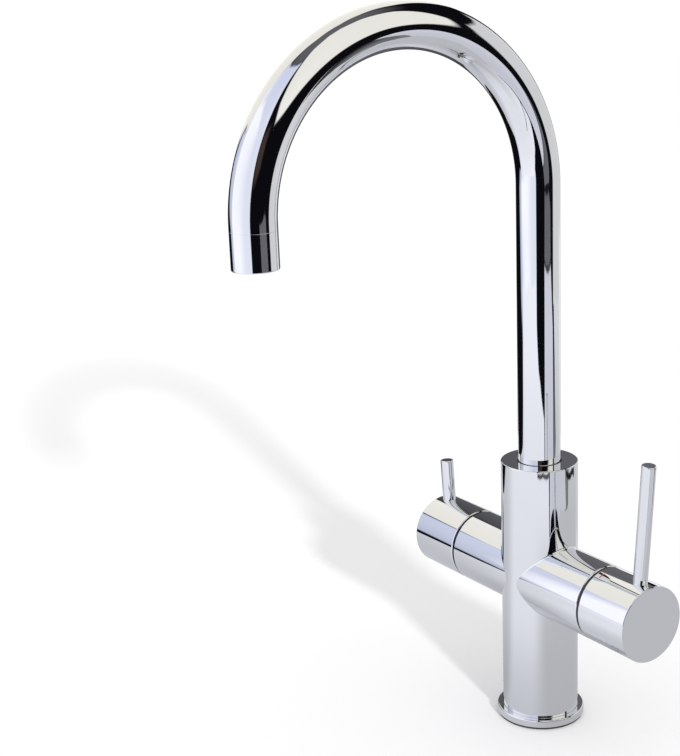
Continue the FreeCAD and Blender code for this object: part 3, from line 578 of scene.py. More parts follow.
class Skin:
    """Mesh in the making, in millimetres: welded places and faces that keep true normals."""

    def __init__(self) -> None:
        """Starts with nothing."""
        self.found: dict[tuple[int, ...], int] = {}
        self.places: list[Vector] = []
        self.faces: list[list[int]] = []
        self.normals: list[Vector] = []

    def weld(self, place: Vector) -> int:
        """Index of a place, shared with any corner that lies on it.

        Args:
            place: The place.

        Returns:
            Its index.
        """
        key = tuple(round(value * WELD_STEPS) for value in place)
        if key not in self.found:
            self.found[key] = len(self.places)
            self.places.append(place)
        return self.found[key]

    def face(self, corners: Iterable[Corner]) -> None:
        """Adds a face, turned to agree with its corners' normals, without repeated corners.

        Args:
            corners: Place and true normal of each corner.
        """
        kept: dict[int, Vector] = {}
        for place, normal in corners:
            kept.setdefault(self.weld(place), normal)
        if len(kept) < 3:
            return
        indices = list(kept)
        normals = list(kept.values())
        a, b, c = (self.places[index] for index in indices[:3])
        across = (b - a).cross(self.places[indices[-1]] - a) + (b - a).cross(c - b)
        if across.dot(sum(normals, Vector((0, 0, 0)))) < 0:
            indices.reverse()
            normals.reverse()
        self.faces.append(indices)
        self.normals.extend(normals)

    def grid(self, rows: Sequence[Sequence[Corner]]) -> None:
        """Fills the space between rows of corners with faces.

        Args:
            rows: Rows of the same length.
        """
        for row, following in zip(rows, rows[1:]):
            for place in range(len(row) - 1):
                self.face((row[place], row[place + 1], following[place + 1], following[place]))

    def turn(self, samples: Sequence[Sample], placing: Matrix, angles: Sequence[float]) -> None:
        """Turns an outline about an axis.

        Args:
            samples: Outline with its normals.
            placing: Where the axis is: local Z is the axis.
            angles: Angles of the steps, the first repeated at the end.
        """
        turned = placing.to_3x3()
        rows = []
        for radius, height, out, up in samples:
            row = []
            for angle in angles:
                cosine = math.cos(angle)
                sine = math.sin(angle)
                place = placing @ Vector((radius * cosine, radius * sine, height))
                row.append((place, turned @ Vector((out * cosine, out * sine, up))))
            rows.append(row)
        self.grid(rows)

    def plate(self, outer: Sequence[Vector], holes: Sequence[Sequence[Vector]], normal: Vector) -> None:
        """Fills a flat outline that has holes.

        Args:
            outer: Places round the outside.
            holes: Places round each hole.
            normal: The plate's normal.
        """
        loops = [outer, *holes]
        places = [place for loop in loops for place in loop]
        for triangle in tessellate_polygon(loops):
            self.face((places[index], normal) for index in triangle)

    def drilled(self, walls: Sequence["Tube"], us: Sequence[float], hole: "Hole") -> None:
        """Fills a band round a hollow tube that has one round hole through its wall.

        Args:
            walls: The outer and the inner surface of the tube.
            us: Angles of the grid.
            hole: The hole.
        """
        vs = hole.rows()
        left, right = hole.columns(us, walls[-1].radius)
        edge = [(us[u], vs[0]) for u in range(left, right)]
        edge += [(us[right], v) for v in vs[:-1]]
        edge += [(us[u], vs[-1]) for u in range(right, left, -1)]
        edge += [(us[left], v) for v in reversed(vs)]
        middle, axis = walls[0].corner(hole.angle, hole.along)
        lining = []
        for wall in walls:
            for part in (us[:left + 1], us[right:]):
                self.grid([[wall.corner(u, v) for u in part] for v in vs])
            rows = []
            for share in between(0, 1, hole.rim_rows):
                row = []
                for u, v in edge:
                    rim_u, rim_v = hole.rim(wall, (u - hole.angle) * walls[0].radius, v - hole.along)
                    row.append(wall.corner(u + (rim_u - u) * share, v + (rim_v - v) * share))
                rows.append(row)
            self.grid(rows)
            offsets = [(place, place - middle) for place, _ in rows[-1]]
            lining.append([(place, (axis * off.dot(axis) - off).normalized()) for place, off in offsets])
        self.grid(lining)

    def piece(self, name: str, slot: Slot, body: Body, *nodes: str) -> None:
        """Makes the mesh a piece that rides on a body.

        Args:
            name: Name of the piece.
            slot: Slot of its finish.
            body: Body that it rides on.
            nodes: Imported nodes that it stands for.
        """
        mesh = bpy.data.meshes.new(name)
        mesh.from_pydata([place * MM for place in self.places], [], self.faces)
        mesh.polygons.foreach_set("use_smooth", [True] * len(self.faces))
        mesh.normals_split_custom_set([normal.normalized() for normal in self.normals])
        carry(name, mesh, slot, body, *nodes)


def carry(name: str, mesh: bpy.types.Mesh, slot: Slot, body: Body, *nodes: str) -> None:
    """Makes a mesh a piece, dresses it, sets it on its body and reports it.

    Args:
        name: Name of the piece.
        mesh: Its mesh.
        slot: Slot of its finish.
        body: Body that it rides on.
        nodes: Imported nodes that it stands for.
    """
    piece = bpy.data.objects.new(name, mesh)
    bpy.context.scene.collection.objects.link(piece)
    mesh.materials.clear()
    mesh.materials.append(finish_of(slot))
    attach(piece, body.value)
    if nodes:
        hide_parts(*nodes)
    log.info("%s: %d faces on %s", name, len(mesh.polygons), body.value)


@dataclass(frozen=True)
class Tube:
    """Round surface about the local Z axis of a placing."""

    radius: float
    placing: Matrix
    facing: int = 1

    def corner(self, angle: float, along: float) -> Corner:
        """Place and normal on the surface.

        Args:
            angle: Angle round the axis.
            along: Distance along the axis.

        Returns:
            The corner.
        """
        around = Vector((math.cos(angle), math.sin(angle), 0))
        place = self.placing @ (around * self.radius + Vector((0, 0, along)))
        return place, self.placing.to_3x3() @ around * self.facing


@dataclass(frozen=True)
class Hole:
    """Round hole drilled straight through a tube's wall."""

    angle: float
    along: float
    radius: float
    margin: float = 1.3
    band_rows: int = 12
    rim_rows: int = 4

    def reach(self) -> float:
        """Half the height of the band of surface that makes room for the hole."""
        return self.margin * self.radius

    def rows(self) -> list[float]:
        """Places along the tube of the band's rows."""
        return between(self.along - self.reach(), self.along + self.reach(), self.band_rows)

    def columns(self, us: Sequence[float], radius: float) -> tuple[int, int]:
        """Columns of a grid between which the hole lies.

        Args:
            us: Angles of the grid.
            radius: Radius of the tube's inner surface.

        Returns:
            First and last index round the tube.
        """
        half = math.asin(self.reach() / radius)
        left = max(index for index, u in enumerate(us) if u < self.angle - half)
        right = min(index for index, u in enumerate(us) if u > self.angle + half)
        return left, right

    def rim(self, tube: Tube, across: float, along: float) -> Pair:
        """Point of the hole's edge in a direction from its middle.

        Args:
            tube: The surface.
            across: Part of the direction that goes round the tube.
            along: Part of the direction along the tube.

        Returns:
            Angle and place along the tube.
        """
        heading = math.atan2(along, across)
        turn = math.asin(self.radius * math.cos(heading) / tube.radius)
        return self.angle + turn, self.along + self.radius * math.sin(heading)


def arm_placing(side: Side) -> Matrix:
    """Placing of an arm's axis: local Z points out along it and local X to the top."""
    sign = side.value
    return Matrix(((0, 0, sign, 0), (0, -sign, 0, 0), (1, 0, 0, ARM_HEIGHT), (0, 0, 0, 1)))


@dataclass
class Casting:
    """Cross-shaped casting: the column and its two arms, with the base ring below it."""

    column: float = 22.75
    foot: float = 2.8
    top: float = 163.5
    edge: float = 0.6
    mouth_edge: float = 0.25
    crease: float = 1.2
    crease_steps: int = 8
    arm_end: float = 56.9
    arm_edge: float = 0.7
    arm_steps: int = 256
    gap_steps: int = 24
    collar: float = 25.0
    counterbore: float = 20.3
    counterbore_depth: float = 4.0
    counterbore_edge: float = 0.2
    socket: float = 17.75
    socket_floor: float = 23.9
    spout_socket: float = 13.3
    spout_floor: float = 116.5
    screw_height: float = 140.0
    screw_hole: float = 2.5
    pocket: float = 18.2
    pocket_depth: float = 18.0
    ring: float = 26.3
    ring_low: float = 1.3
    ring_top: float = 5.8
    ring_edge: float = 0.9
    ring_low_edge: float = 0.3
    ring_bore: float = 18.0
    ring_bore_edge: float = 0.2
    ring_gap: float = 0.05

    def ball(self, side: Side, angle: float) -> Vector:
        """Centre of the ball that rolls along the crease between column and arm.

        Args:
            side: The arm.
            angle: Angle round the arm, from its top.

        Returns:
            The centre.
        """
        reach = ARM + self.crease
        y = -side.value * reach * math.sin(angle)
        x = math.sqrt((self.column + self.crease) ** 2 - y * y)
        return Vector((side.value * x, y, ARM_HEIGHT + reach * math.cos(angle)))

    def add_arm(self, skin: Skin, side: Side) -> None:
        """Adds an arm with its blended crease and its stepped socket.

        Args:
            skin: The casting's mesh.
            side: The arm.
        """
        placing = arm_placing(side)
        tube = Tube(ARM, placing)
        angles = steps(self.arm_steps)
        rounded = self.arm_end - self.arm_edge
        crease_rows = []
        arm_rows = []
        for angle in angles:
            centre = self.ball(side, angle)
            from_column = Vector((centre.x, centre.y, 0)).normalized()
            from_arm = tube.corner(angle, 0)[1]
            row = []
            for share in between(0, 1, self.crease_steps):
                normal = from_column.slerp(from_arm, share)
                row.append((centre - normal * self.crease, normal))
            crease_rows.append(row)
            arm_rows.append([row[-1], tube.corner(angle, rounded)])
        skin.grid(crease_rows)
        skin.grid(arm_rows)
        ledge = self.arm_end - self.counterbore_depth
        end = outline(
            (ARM, rounded), (ARM, self.arm_end, self.arm_edge),
            (self.counterbore, self.arm_end, self.counterbore_edge), (self.counterbore, ledge),
            (self.socket, ledge), (self.socket, self.socket_floor), (0, self.socket_floor),
        )
        skin.turn(end, placing, angles)

    def meeting_line(self) -> list[Pair]:
        """Line on the column along which the upper halves of the creases end.

        Returns:
            Angle round the column and rise above the arms' axis at each place.
        """
        quarter = self.arm_steps // 4
        line = []
        for step in range(-quarter, quarter + 1):
            centre = self.ball(Side.RIGHT, -2 * math.pi * step / self.arm_steps)
            line.append((math.atan2(centre.y, centre.x), centre.z - ARM_HEIGHT))
        widest = line[-1][0]
        line += [(u, 0.0) for u in between(widest, math.pi - widest, self.gap_steps)[1:-1]]
        line += [(u + math.pi, rise) for u, rise in line]
        return [*line, (line[0][0] + 2 * math.pi, line[0][1])]

    def add_column(self, skin: Skin) -> None:
        """Adds the column round the arms, with the hole of the screw behind it and its top.

        Args:
            skin: The casting's mesh.
        """
        tube = Tube(self.column, UPRIGHT)
        line = self.meeting_line()
        us = [u for u, _ in line]
        high = ARM_HEIGHT + self.collar
        low = ARM_HEIGHT - self.collar
        for sign, end in ((1, high), (-1, low)):
            crease = [tube.corner(u, ARM_HEIGHT + sign * rise) for u, rise in line]
            skin.grid([crease, [tube.corner(u, end) for u in us]])
        skin.grid([[tube.corner(u, height) for u in us] for height in (low, self.foot)])
        hole = Hole(math.pi / 2, self.screw_height, self.screw_hole)
        skin.drilled((tube, Tube(self.spout_socket, UPRIGHT, -1)), us, hole)
        under = self.screw_height - hole.reach()
        over = self.screw_height + hole.reach()
        roof = self.foot + self.pocket_depth
        inside = self.spout_socket
        neck = outline((self.column, high), (self.column, under))
        crown = outline(
            (self.column, over), (self.column, self.top, self.edge),
            (inside, self.top, self.mouth_edge), (inside, over),
        )
        floor = outline((inside, under), (inside, self.spout_floor), (0, self.spout_floor))
        below = outline((0, roof), (self.pocket, roof), (self.pocket, self.foot), (self.column, self.foot))
        for section in (neck, crown, floor, below):
            skin.turn(section, UPRIGHT, us)

    def build_ring(self) -> None:
        """Turns the base ring."""
        skin = Skin()
        inside = self.column + self.ring_gap
        section = outline(
            (self.ring_bore, self.foot), (self.ring_bore, self.ring_low, self.ring_bore_edge),
            (self.ring, self.ring_low, self.ring_low_edge), (self.ring, self.ring_top, self.ring_edge),
            (inside, self.ring_top, self.mouth_edge), (inside, self.foot), (self.ring_bore, self.foot),
        )
        skin.turn(section, UPRIGHT, steps(self.arm_steps))
        skin.piece("foot_ring", Slot.CHROME_BODY, Body.BASE, "base_ring")

    def build(self) -> None:
        """Makes the casting and its base ring."""
        skin = Skin()
        for side in Side:
            self.add_arm(skin, side)
        self.add_column(skin)
        skin.piece("casting", Slot.CHROME_BODY, Body.BASE, "body_casting")
        self.build_ring()


@dataclass(frozen=True)
class Tapping:
    """A row of equal tapped holes in the casting's underside."""

    name: str
    count: int
    first: Pair
    step: Pair
    bore: float
    depth: float
    waterway: float
    pitch: float = 1.0
    groove: float = 0.5
    mouth: float = 0.15
    start: float = 0.7
    spare: float = 2.0

    def centres(self) -> list[Vector]:
        """Middles of the holes, in plan."""
        first = Vector((*self.first, 0))
        return [first + Vector((*self.step, 0)) * place for place in range(self.count)]


@dataclass
class Underside:
    """Bare brass end of the casting inside the base ring, with its tapped holes."""

    radius: float = 18.15
    low: float = 2.8
    high: float = 20.7
    edge_steps: int = 128
    hole_steps: int = 48
    ridge_sides: int = 4
    tappings: tuple[Tapping, ...] = (
        Tapping("inlet_threads", 3, (0.0, -10.5), (0.0, 10.5), bore=4.5, depth=14.0, waterway=3.5),
        Tapping("stud_threads", 2, (-13.0, 0.0), (26.0, 0.0), bore=2.5, depth=15.0, waterway=0.0),
    )

    def build_plug(self) -> None:
        """Makes the brass end with the walls of its holes."""
        skin = Skin()
        mouths = []
        for tapping in self.tappings:
            groove = tapping.bore + tapping.groove
            mouth = groove + tapping.mouth
            deep = self.low + tapping.depth
            walls = [(groove, deep), (groove, self.low + tapping.groove), (mouth, self.low)]
            if tapping.waterway:
                end = deep + tapping.spare
                walls = [(tapping.waterway, end), (tapping.waterway, deep), *walls]
            section = outline((0, walls[0][1]), *walls)
            for centre in tapping.centres():
                skin.turn(section, Matrix.Translation(centre), steps(self.hole_steps))
                mouths.append([centre + place for place in circle(mouth, self.low, self.hole_steps)])
        outside = outline((self.radius, self.low), (self.radius, self.high), (0, self.high))
        skin.turn(outside, UPRIGHT, steps(self.edge_steps))
        skin.plate(circle(self.radius, self.low, self.edge_steps), mouths, Vector((0, 0, -1)))
        skin.piece("casting_underside", Slot.BRASS, Body.BASE)

    def build_threads(self, tapping: Tapping) -> None:
        """Winds the thread's ridge in each hole of a row.

        Args:
            tapping: The row of holes.
        """
        turns = math.floor((tapping.depth - tapping.start) / tapping.pitch) - 1
        tree = Grower(tapping.name, Slot.BRASS, {
            "Holes": tapping.count,
            "First hole": (*(value * MM for value in tapping.first), (self.low + tapping.start) * MM),
            "Step": (*(value * MM for value in tapping.step), 0.0),
            "Radius": (tapping.bore + tapping.groove) * MM,
            "Ridge": tapping.groove * MM,
            "Turns": float(turns),
            "Length": turns * tapping.pitch * MM,
            "Steps per turn": self.hole_steps,
        })
        helix = tree.add("GeometryNodeCurveSpiral", {
            "Resolution": tree.given["Steps per turn"],
            "Rotations": tree.given["Turns"],
            "Start Radius": tree.given["Radius"],
            "End Radius": tree.given["Radius"],
            "Height": tree.given["Length"],
        })
        level = tree.add("GeometryNodeSetCurveNormal", {"Curve": helix}, mode="Z_UP")
        ridge = tree.sweep(level, tree.ring(self.ridge_sides, tree.given["Ridge"]), caps=True)
        row = tree.add("GeometryNodeMeshLine", {
            "Count": tree.given["Holes"],
            "Start Location": tree.given["First hole"],
            "Offset": tree.given["Step"],
        })
        tree.grow(tree.repeat(row, tree.smooth(ridge)), Body.BASE)

    def build(self) -> None:
        """Makes the brass end and its threads."""
        self.build_plug()
        for tapping in self.tappings:
            self.build_threads(tapping)


@dataclass
class Spout:
    """Swan neck with its nozzle."""

    outside: float = 12.5
    wall: float = 1.5
    start: float = 147.5
    arch: float = 92.7
    arch_height: float = 327.1
    tail: float = 2.2
    weld: float = 0.001
    path_steps: int = 300
    ring_steps: int = 128
    nozzle_length: float = 20.0
    nozzle_wall: float = 1.7
    nozzle_steps: int = 192
    ledge: float = 10.1
    spigot: float = 10.75
    spigot_bore: float = 8.55
    spigot_length: float = 5.0
    seam_edge: float = 0.16
    lip_edge: float = 0.5
    lip_bore_edge: float = 0.35
    straightener_face: float = 305.5
    hole: float = 0.9
    hole_rows: tuple[tuple[float, int], ...] = ((5.4375, 12), (8.3125, 18))
    rim: float = 0.16
    rim_steps: int = 24
    bead_sides: int = 8

    def build_neck(self) -> None:
        """Sweeps the hollow neck along its rule: up, over and down."""
        tree = Grower("swan_neck", Slot.CHROME_SPOUT, {
            "Start height": self.start * MM,
            "Rise": (self.arch_height - self.start) * MM,
            "Arch radius": self.arch * MM,
            "Fall": self.tail * MM,
            "Outside radius": self.outside * MM,
            "Wall": self.wall * MM,
            "Path steps": self.path_steps,
            "Ring steps": self.ring_steps,
        })
        rise = tree.number("Rise")
        arch = tree.number("Arch radius")
        line = tree.add("GeometryNodeCurvePrimitiveLine")
        points = tree.add("GeometryNodeResampleCurve", {"Curve": line, "Count": tree.given["Path steps"]})
        share = tree.value("GeometryNodeSplineParameter")
        along = share * (rise + arch * math.pi + tree.number("Fall"))
        bend = ((along - rise) / arch).at_least(0.0).at_most(math.pi)
        past = (along - rise - arch * math.pi).at_least(0.0)
        height = along.at_most(rise) + tree.number("Start height")
        y = bend.cosine() * arch - arch
        z = height + bend.sine() * arch - past
        place = tree.add("ShaderNodeCombineXYZ", {"Y": y, "Z": z})
        path = tree.add("GeometryNodeSetPosition", {"Geometry": points, "Position": place})
        outer = tree.sweep(path, tree.ring(tree.given["Ring steps"], tree.given["Outside radius"]))
        turned = tree.add("GeometryNodeFlipFaces", {"Mesh": outer})
        sockets = {"Mesh": turned, "Offset Scale": tree.given["Wall"], "Individual": False}
        inner = tree.add("GeometryNodeExtrudeMesh", sockets)
        sockets = {"Geometry": tree.joined(outer, inner), "Distance": self.weld * MM}
        welded = tree.add("GeometryNodeMergeByDistance", sockets)
        tree.grow(tree.smooth(welded), Body.SPOUT, "spout_tube")

    def build_nozzle(self) -> None:
        """Turns the nozzle's sleeve."""
        skin = Skin()
        seam = self.arch_height - self.tail
        lip = seam - self.nozzle_length
        inside = self.outside - self.nozzle_wall
        top = seam + self.spigot_length
        section = outline(
            (self.spigot_bore, top), (self.spigot_bore, lip + self.ledge), (inside, lip + self.ledge),
            (inside, lip, self.lip_bore_edge), (self.outside, lip, self.lip_edge),
            (self.outside, seam, self.seam_edge), (self.spigot, seam), (self.spigot, top),
            (self.spigot_bore, top),
        )
        skin.turn(section, Matrix.Translation((0, -2 * self.arch, 0)), steps(self.nozzle_steps))
        skin.piece("nozzle", Slot.CHROME_SPOUT, Body.SPOUT, "nozzle_sleeve")

    def build_rims(self) -> None:
        """Sets a raised rim round each hole of the flow straightener."""
        tree = Grower("straightener_rims", Slot.WHITE_PLASTIC, {
            "Outlet": (0.0, -2 * self.arch * MM, self.straightener_face * MM),
            "Hole radius": (self.hole + self.rim / 2) * MM,
            "Rim": self.rim * MM,
        })
        line = tree.ring(self.rim_steps, tree.given["Hole radius"])
        bead = tree.ring(self.bead_sides, tree.given["Rim"])
        rim = tree.smooth(tree.sweep(line, bead))
        rows = []
        for reach, count in self.hole_rows:
            sockets = {"Geometry": tree.ring(count, reach * MM), "Translation": tree.given["Outlet"]}
            rows.append(tree.repeat(tree.add("GeometryNodeTransform", sockets), rim))
        tree.grow(tree.joined(*rows), Body.SPOUT)

    def build(self) -> None:
        """Makes the neck, the nozzle and the rims in it."""
        self.build_neck()
        self.build_nozzle()
        self.build_rims()


@dataclass
class Control:
    """A round handle on an arm with its lever."""

    side: Side
    body: Body
    prefix: str
    length: float
    lever_length: float
    lever_inset: float
    start: float = 58.55
    edge: float = 0.6
    mouth_edge: float = 0.7
    bore: float = 20.05
    bore_edge: float = 0.2
    end_wall: float = 4.0
    screw_inset: float = 15.0
    screw_hole: float = 2.75
    boss: float = 9.0
    boss_length: float = 18.0
    stem: float = 4.05
    stem_gap: float = 1.0
    ring_steps: int = 224
    lever: float = 4.1
    lever_steps: int = 128
    lean: float = 4.4
    seat: float = 0.9
    tip: float = 0.6

    def build_handle(self) -> None:
        """Makes the handle with the screw hole in its underside."""
        skin = Skin()
        placing = arm_placing(self.side)
        end = self.start + self.length
        us = steps(self.ring_steps)
        screw = end - self.screw_inset
        hole = Hole(math.pi, screw, self.screw_hole)
        skin.drilled((Tube(ARM, placing), Tube(self.bore, placing, -1)), us, hole)
        under = screw - hole.reach()
        over = screw + hole.reach()
        floor = end - self.end_wall
        stop = floor - self.stem_gap
        face = floor - self.boss_length
        outer_end = outline((ARM, over), (ARM, end, self.edge), (0, end))
        inner_end = outline(
            (0, stop), (self.stem, stop), (self.stem, face), (self.boss, face), (self.boss, floor),
            (self.bore, floor), (self.bore, over),
        )
        mouth = outline(
            (self.bore, under), (self.bore, self.start, self.bore_edge),
            (ARM, self.start, self.mouth_edge), (ARM, under),
        )
        for section in (outer_end, inner_end, mouth):
            skin.turn(section, placing, us)
        skin.piece(self.prefix + "_grip", Slot.CHROME_HANDLE, self.body, self.prefix + "_handle")

    def build_lever(self) -> None:
        """Turns the lever that stands on the handle."""
        skin = Skin()
        along = (self.start + self.length - self.lever_inset) * self.side.value
        lean = Matrix.Rotation(math.radians(self.lean) * self.side.value, 4, "Y")
        section = outline(
            (0, -self.seat), (self.lever, -self.seat),
            (self.lever, self.lever_length, self.tip), (0, self.lever_length),
        )
        placing = Matrix.Translation((along, 0, ARM_HEIGHT + ARM)) @ lean
        skin.turn(section, placing, steps(self.lever_steps))
        skin.piece(self.prefix + "_rod", Slot.CHROME_HANDLE, self.body, self.prefix + "_lever")

    def build(self) -> None:
        """Makes the handle and its lever."""
        self.build_handle()
        self.build_lever()


@dataclass
class HotMark:
    """Short stroke of red enamel on the mixing handle that marks the hot side."""

    length: float = 4.4
    width: float = 0.9
    along: float = 62.7
    angle: float = 20.3
    dome: float = 0.08
    lift: float = 0.02
    sunk: float = 0.4
    rings: int = 6
    ring_steps: int = 48

    def corner(self, tube: Tube, share: float, heading: float) -> Corner:
        """Place and normal on the stroke.

        Args:
            tube: The handle's surface.
            share: 0 in the middle, 1 at the edge.
            heading: Angle about the middle.

        Returns:
            The corner.
        """
        half = (self.length / 2, self.width / 2)
        around = half[0] * share * math.cos(heading)
        along = half[1] * share * math.sin(heading)
        place, out = tube.corner(math.radians(self.angle) + around / ARM, self.along + along)
        axis = tube.placing.to_3x3().col[2]
        slope = axis.cross(out) * around / half[0] ** 2 + axis * along / half[1] ** 2
        rise = self.dome * (1 - share * share) + self.lift
        return place + out * rise, (out + slope * 2 * self.dome).normalized()

    def build(self) -> None:
        """Makes the stroke with its sunk edge."""
        skin = Skin()
        tube = Tube(ARM, arm_placing(Side.RIGHT))
        headings = steps(self.ring_steps)
        rows = [[self.corner(tube, share, a) for a in headings] for share in between(0, 1, self.rings)]
        skin.grid(rows)
        middle, out = tube.corner(math.radians(self.angle), self.along)
        edge = []
        foot = []
        for place, normal in rows[-1]:
            aside = (normal - out * normal.dot(out)).normalized()
            edge.append((place, aside))
            foot.append((place - out * self.sunk, aside))
        skin.grid([edge, foot])
        below = [(place, out * -1) for place, _ in foot]
        skin.grid([below, [(middle - out * self.sunk, out * -1)] * len(below)])
        skin.piece("hot_stroke", Slot.RED_ENAMEL, Body.MIXER, "hot_mark")


def bearing(azimuth: float, elevation: float) -> Vector:
    """Direction of an azimuth from the front towards +X and an elevation.

    Args:
        azimuth: Degrees from the front.
        elevation: Degrees above the level.

    Returns:
        The direction, of length 1.
    """
    a = math.radians(azimuth)
    e = math.radians(elevation)
    return Vector((math.sin(a) * math.cos(e), -math.cos(a) * math.cos(e), math.sin(e)))


def encloses(edge: Sequence[Vector], place: Vector) -> bool:
    """Tells whether a closed outline goes round a place.

    Args:
        edge: Corners of the outline.
        place: The place.

    Returns:
        True when the place is inside.
    """
    inside = False
    for a, b in zip(edge, [*edge[1:], edge[0]]):
        if (a.y > place.y) != (b.y > place.y):
            inside ^= place.x < a.x + (b.x - a.x) * (place.y - a.y) / (b.y - a.y)
    return inside


def staged(name: str, places: Sequence, faces: Sequence, material: Material) -> bpy.types.Object:
    """Makes a piece of the studio.

    Args:
        name: Name of the piece.
        places: Its corners, in metres.
        faces: Indices of the corners of each face.
        material: Its material.

    Returns:
        The new object.
    """
    mesh = bpy.data.meshes.new(name)
    mesh.from_pydata(places, [], faces)
    mesh.materials.append(material)
    piece = bpy.data.objects.new(name, mesh)
    bpy.context.scene.collection.objects.link(piece)
    return piece


def mirrored_only(piece: bpy.types.Object) -> None:
    """Makes a piece of the studio show only in reflections."""
    for kind in ("camera", "diffuse", "shadow", "transmission"):
        setattr(piece, "visible_" + kind, False)


@dataclass(frozen=True)
class Panel:
    """A lit or dark patch of the studio as it is seen from the tap.

    The corners are azimuth from the front towards +X and elevation, in degrees, each with the
    light that comes from it. The panel fades out over its feather, in degrees.
    """

    name: str
    corners: tuple[tuple[float, float, Colour], ...]
    feather: float = 2.0
    distance: float = 1.3
    edge_step: float = 4.0
    grid_step: int = 6
    inset: int = 4
    softening: float = 1.0

    def dense(self) -> list[tuple[Vector, Colour]]:
        """Outline of the panel with a point every few degrees.

        Returns:
            Places in degrees and the light at each.
        """
        points = []
        for first, second in zip(self.corners, self.corners[1:] + self.corners[:1]):
            start = Vector(first[:2])
            end = Vector(second[:2])
            count = max(1, math.ceil((end - start).length / self.edge_step))
            for step in range(count):
                share = step / count
                light = tuple(a + (b - a) * share for a, b in zip(first[2], second[2]))
                points.append((start.lerp(end, share), light))
        return points

    def light_at(self, place: Vector, rim: list[tuple[Vector, Colour]]) -> Colour:
        """Light inside the panel, smoothed from its outline.

        Args:
            place: Place in degrees.
            rim: Outline with its light.

        Returns:
            The light.
        """
        total = 0.0
        light = [0.0, 0.0, 0.0]
        for point, tone in rim:
            weight = 1.0 / ((point - place).length_squared + self.softening)
            total += weight
            light = [a + b * weight for a, b in zip(light, tone)]
        return tuple(value / total for value in light)

    def lines(self, values: list[float]) -> range:
        """Whole degrees of the grid inside the panel, along one axis of its outline."""
        return range(math.ceil(min(values)) + self.inset, math.floor(max(values)), self.grid_step)

    def build(self, centre: Vector, material: Material) -> None:
        """Hangs the panel up.

        Args:
            centre: Point that the panel is seen from.
            material: Material that glows with the mesh's own light.
        """
        rim = self.dense()
        edge = [point for point, _ in rim]
        following = edge[1:] + edge[:1]
        feather = math.copysign(self.feather, sum(a.cross(b) for a, b in zip(edge, following)))
        inside = product(*(self.lines([point[axis] for point in edge]) for axis in (0, 1)))
        links = [(k, (k + 1) % len(rim)) for k in range(len(rim))]
        everywhere = edge + [Vector(place) for place in inside]
        places, _, found, *_ = delaunay_2d_cdt(everywhere, links, [], 0, TOUCHING, False)
        faces = []
        for face in found:
            middle = sum((places[index] for index in face), Vector((0, 0))) / len(face)
            if encloses(edge, middle):
                faces.append(list(face))
        glow = [(*self.light_at(place, rim), 1.0) for place in places]
        start = len(places)
        for k, (point, light) in enumerate(rim):
            along = (following[k] - edge[k - 1]).normalized()
            places += [point, point + Vector((along.y, -along.x)) * feather]
            glow += [(*self.light_at(point, rim), 1.0), (*light, 0.0)]
        for near, far in ((start + 2 * a, start + 2 * b) for a, b in links):
            faces.append([near, far, far + 1, near + 1])
        spots = [centre + bearing(*place) * self.distance for place in places]
        panel = staged(self.name, spots, faces, material)
        attribute = panel.data.attributes.new("glow", "FLOAT_COLOR", "POINT")
        attribute.data.foreach_set("color", [value for colour in glow for value in colour])
        mirrored_only(panel)


BRIGHT: Colour = (1.2, 1.21, 1.28)
PALE_BLUE: Colour = (0.93, 0.96, 1.08)
BLUISH: Colour = (0.76, 0.8, 1.0)
DIM_BLUE: Colour = (0.56, 0.6, 0.76)
CREAM: Colour = (1.02, 0.99, 0.9)
PALE_CREAM: Colour = (1.1, 1.08, 1.0)
LIGHT_GREY: Colour = (0.77, 0.77, 0.77)
SNOW: Colour = (1.15, 1.15, 1.16)
DUSK: Colour = (0.16, 0.16, 0.175)
NIGHT: Colour = (0.055, 0.055, 0.062)
BROWN: Colour = (0.06, 0.04, 0.032)
BLACK: Colour = (0.01, 0.01, 0.012)
JOINT_GREY: Colour = (0.28, 0.28, 0.29)

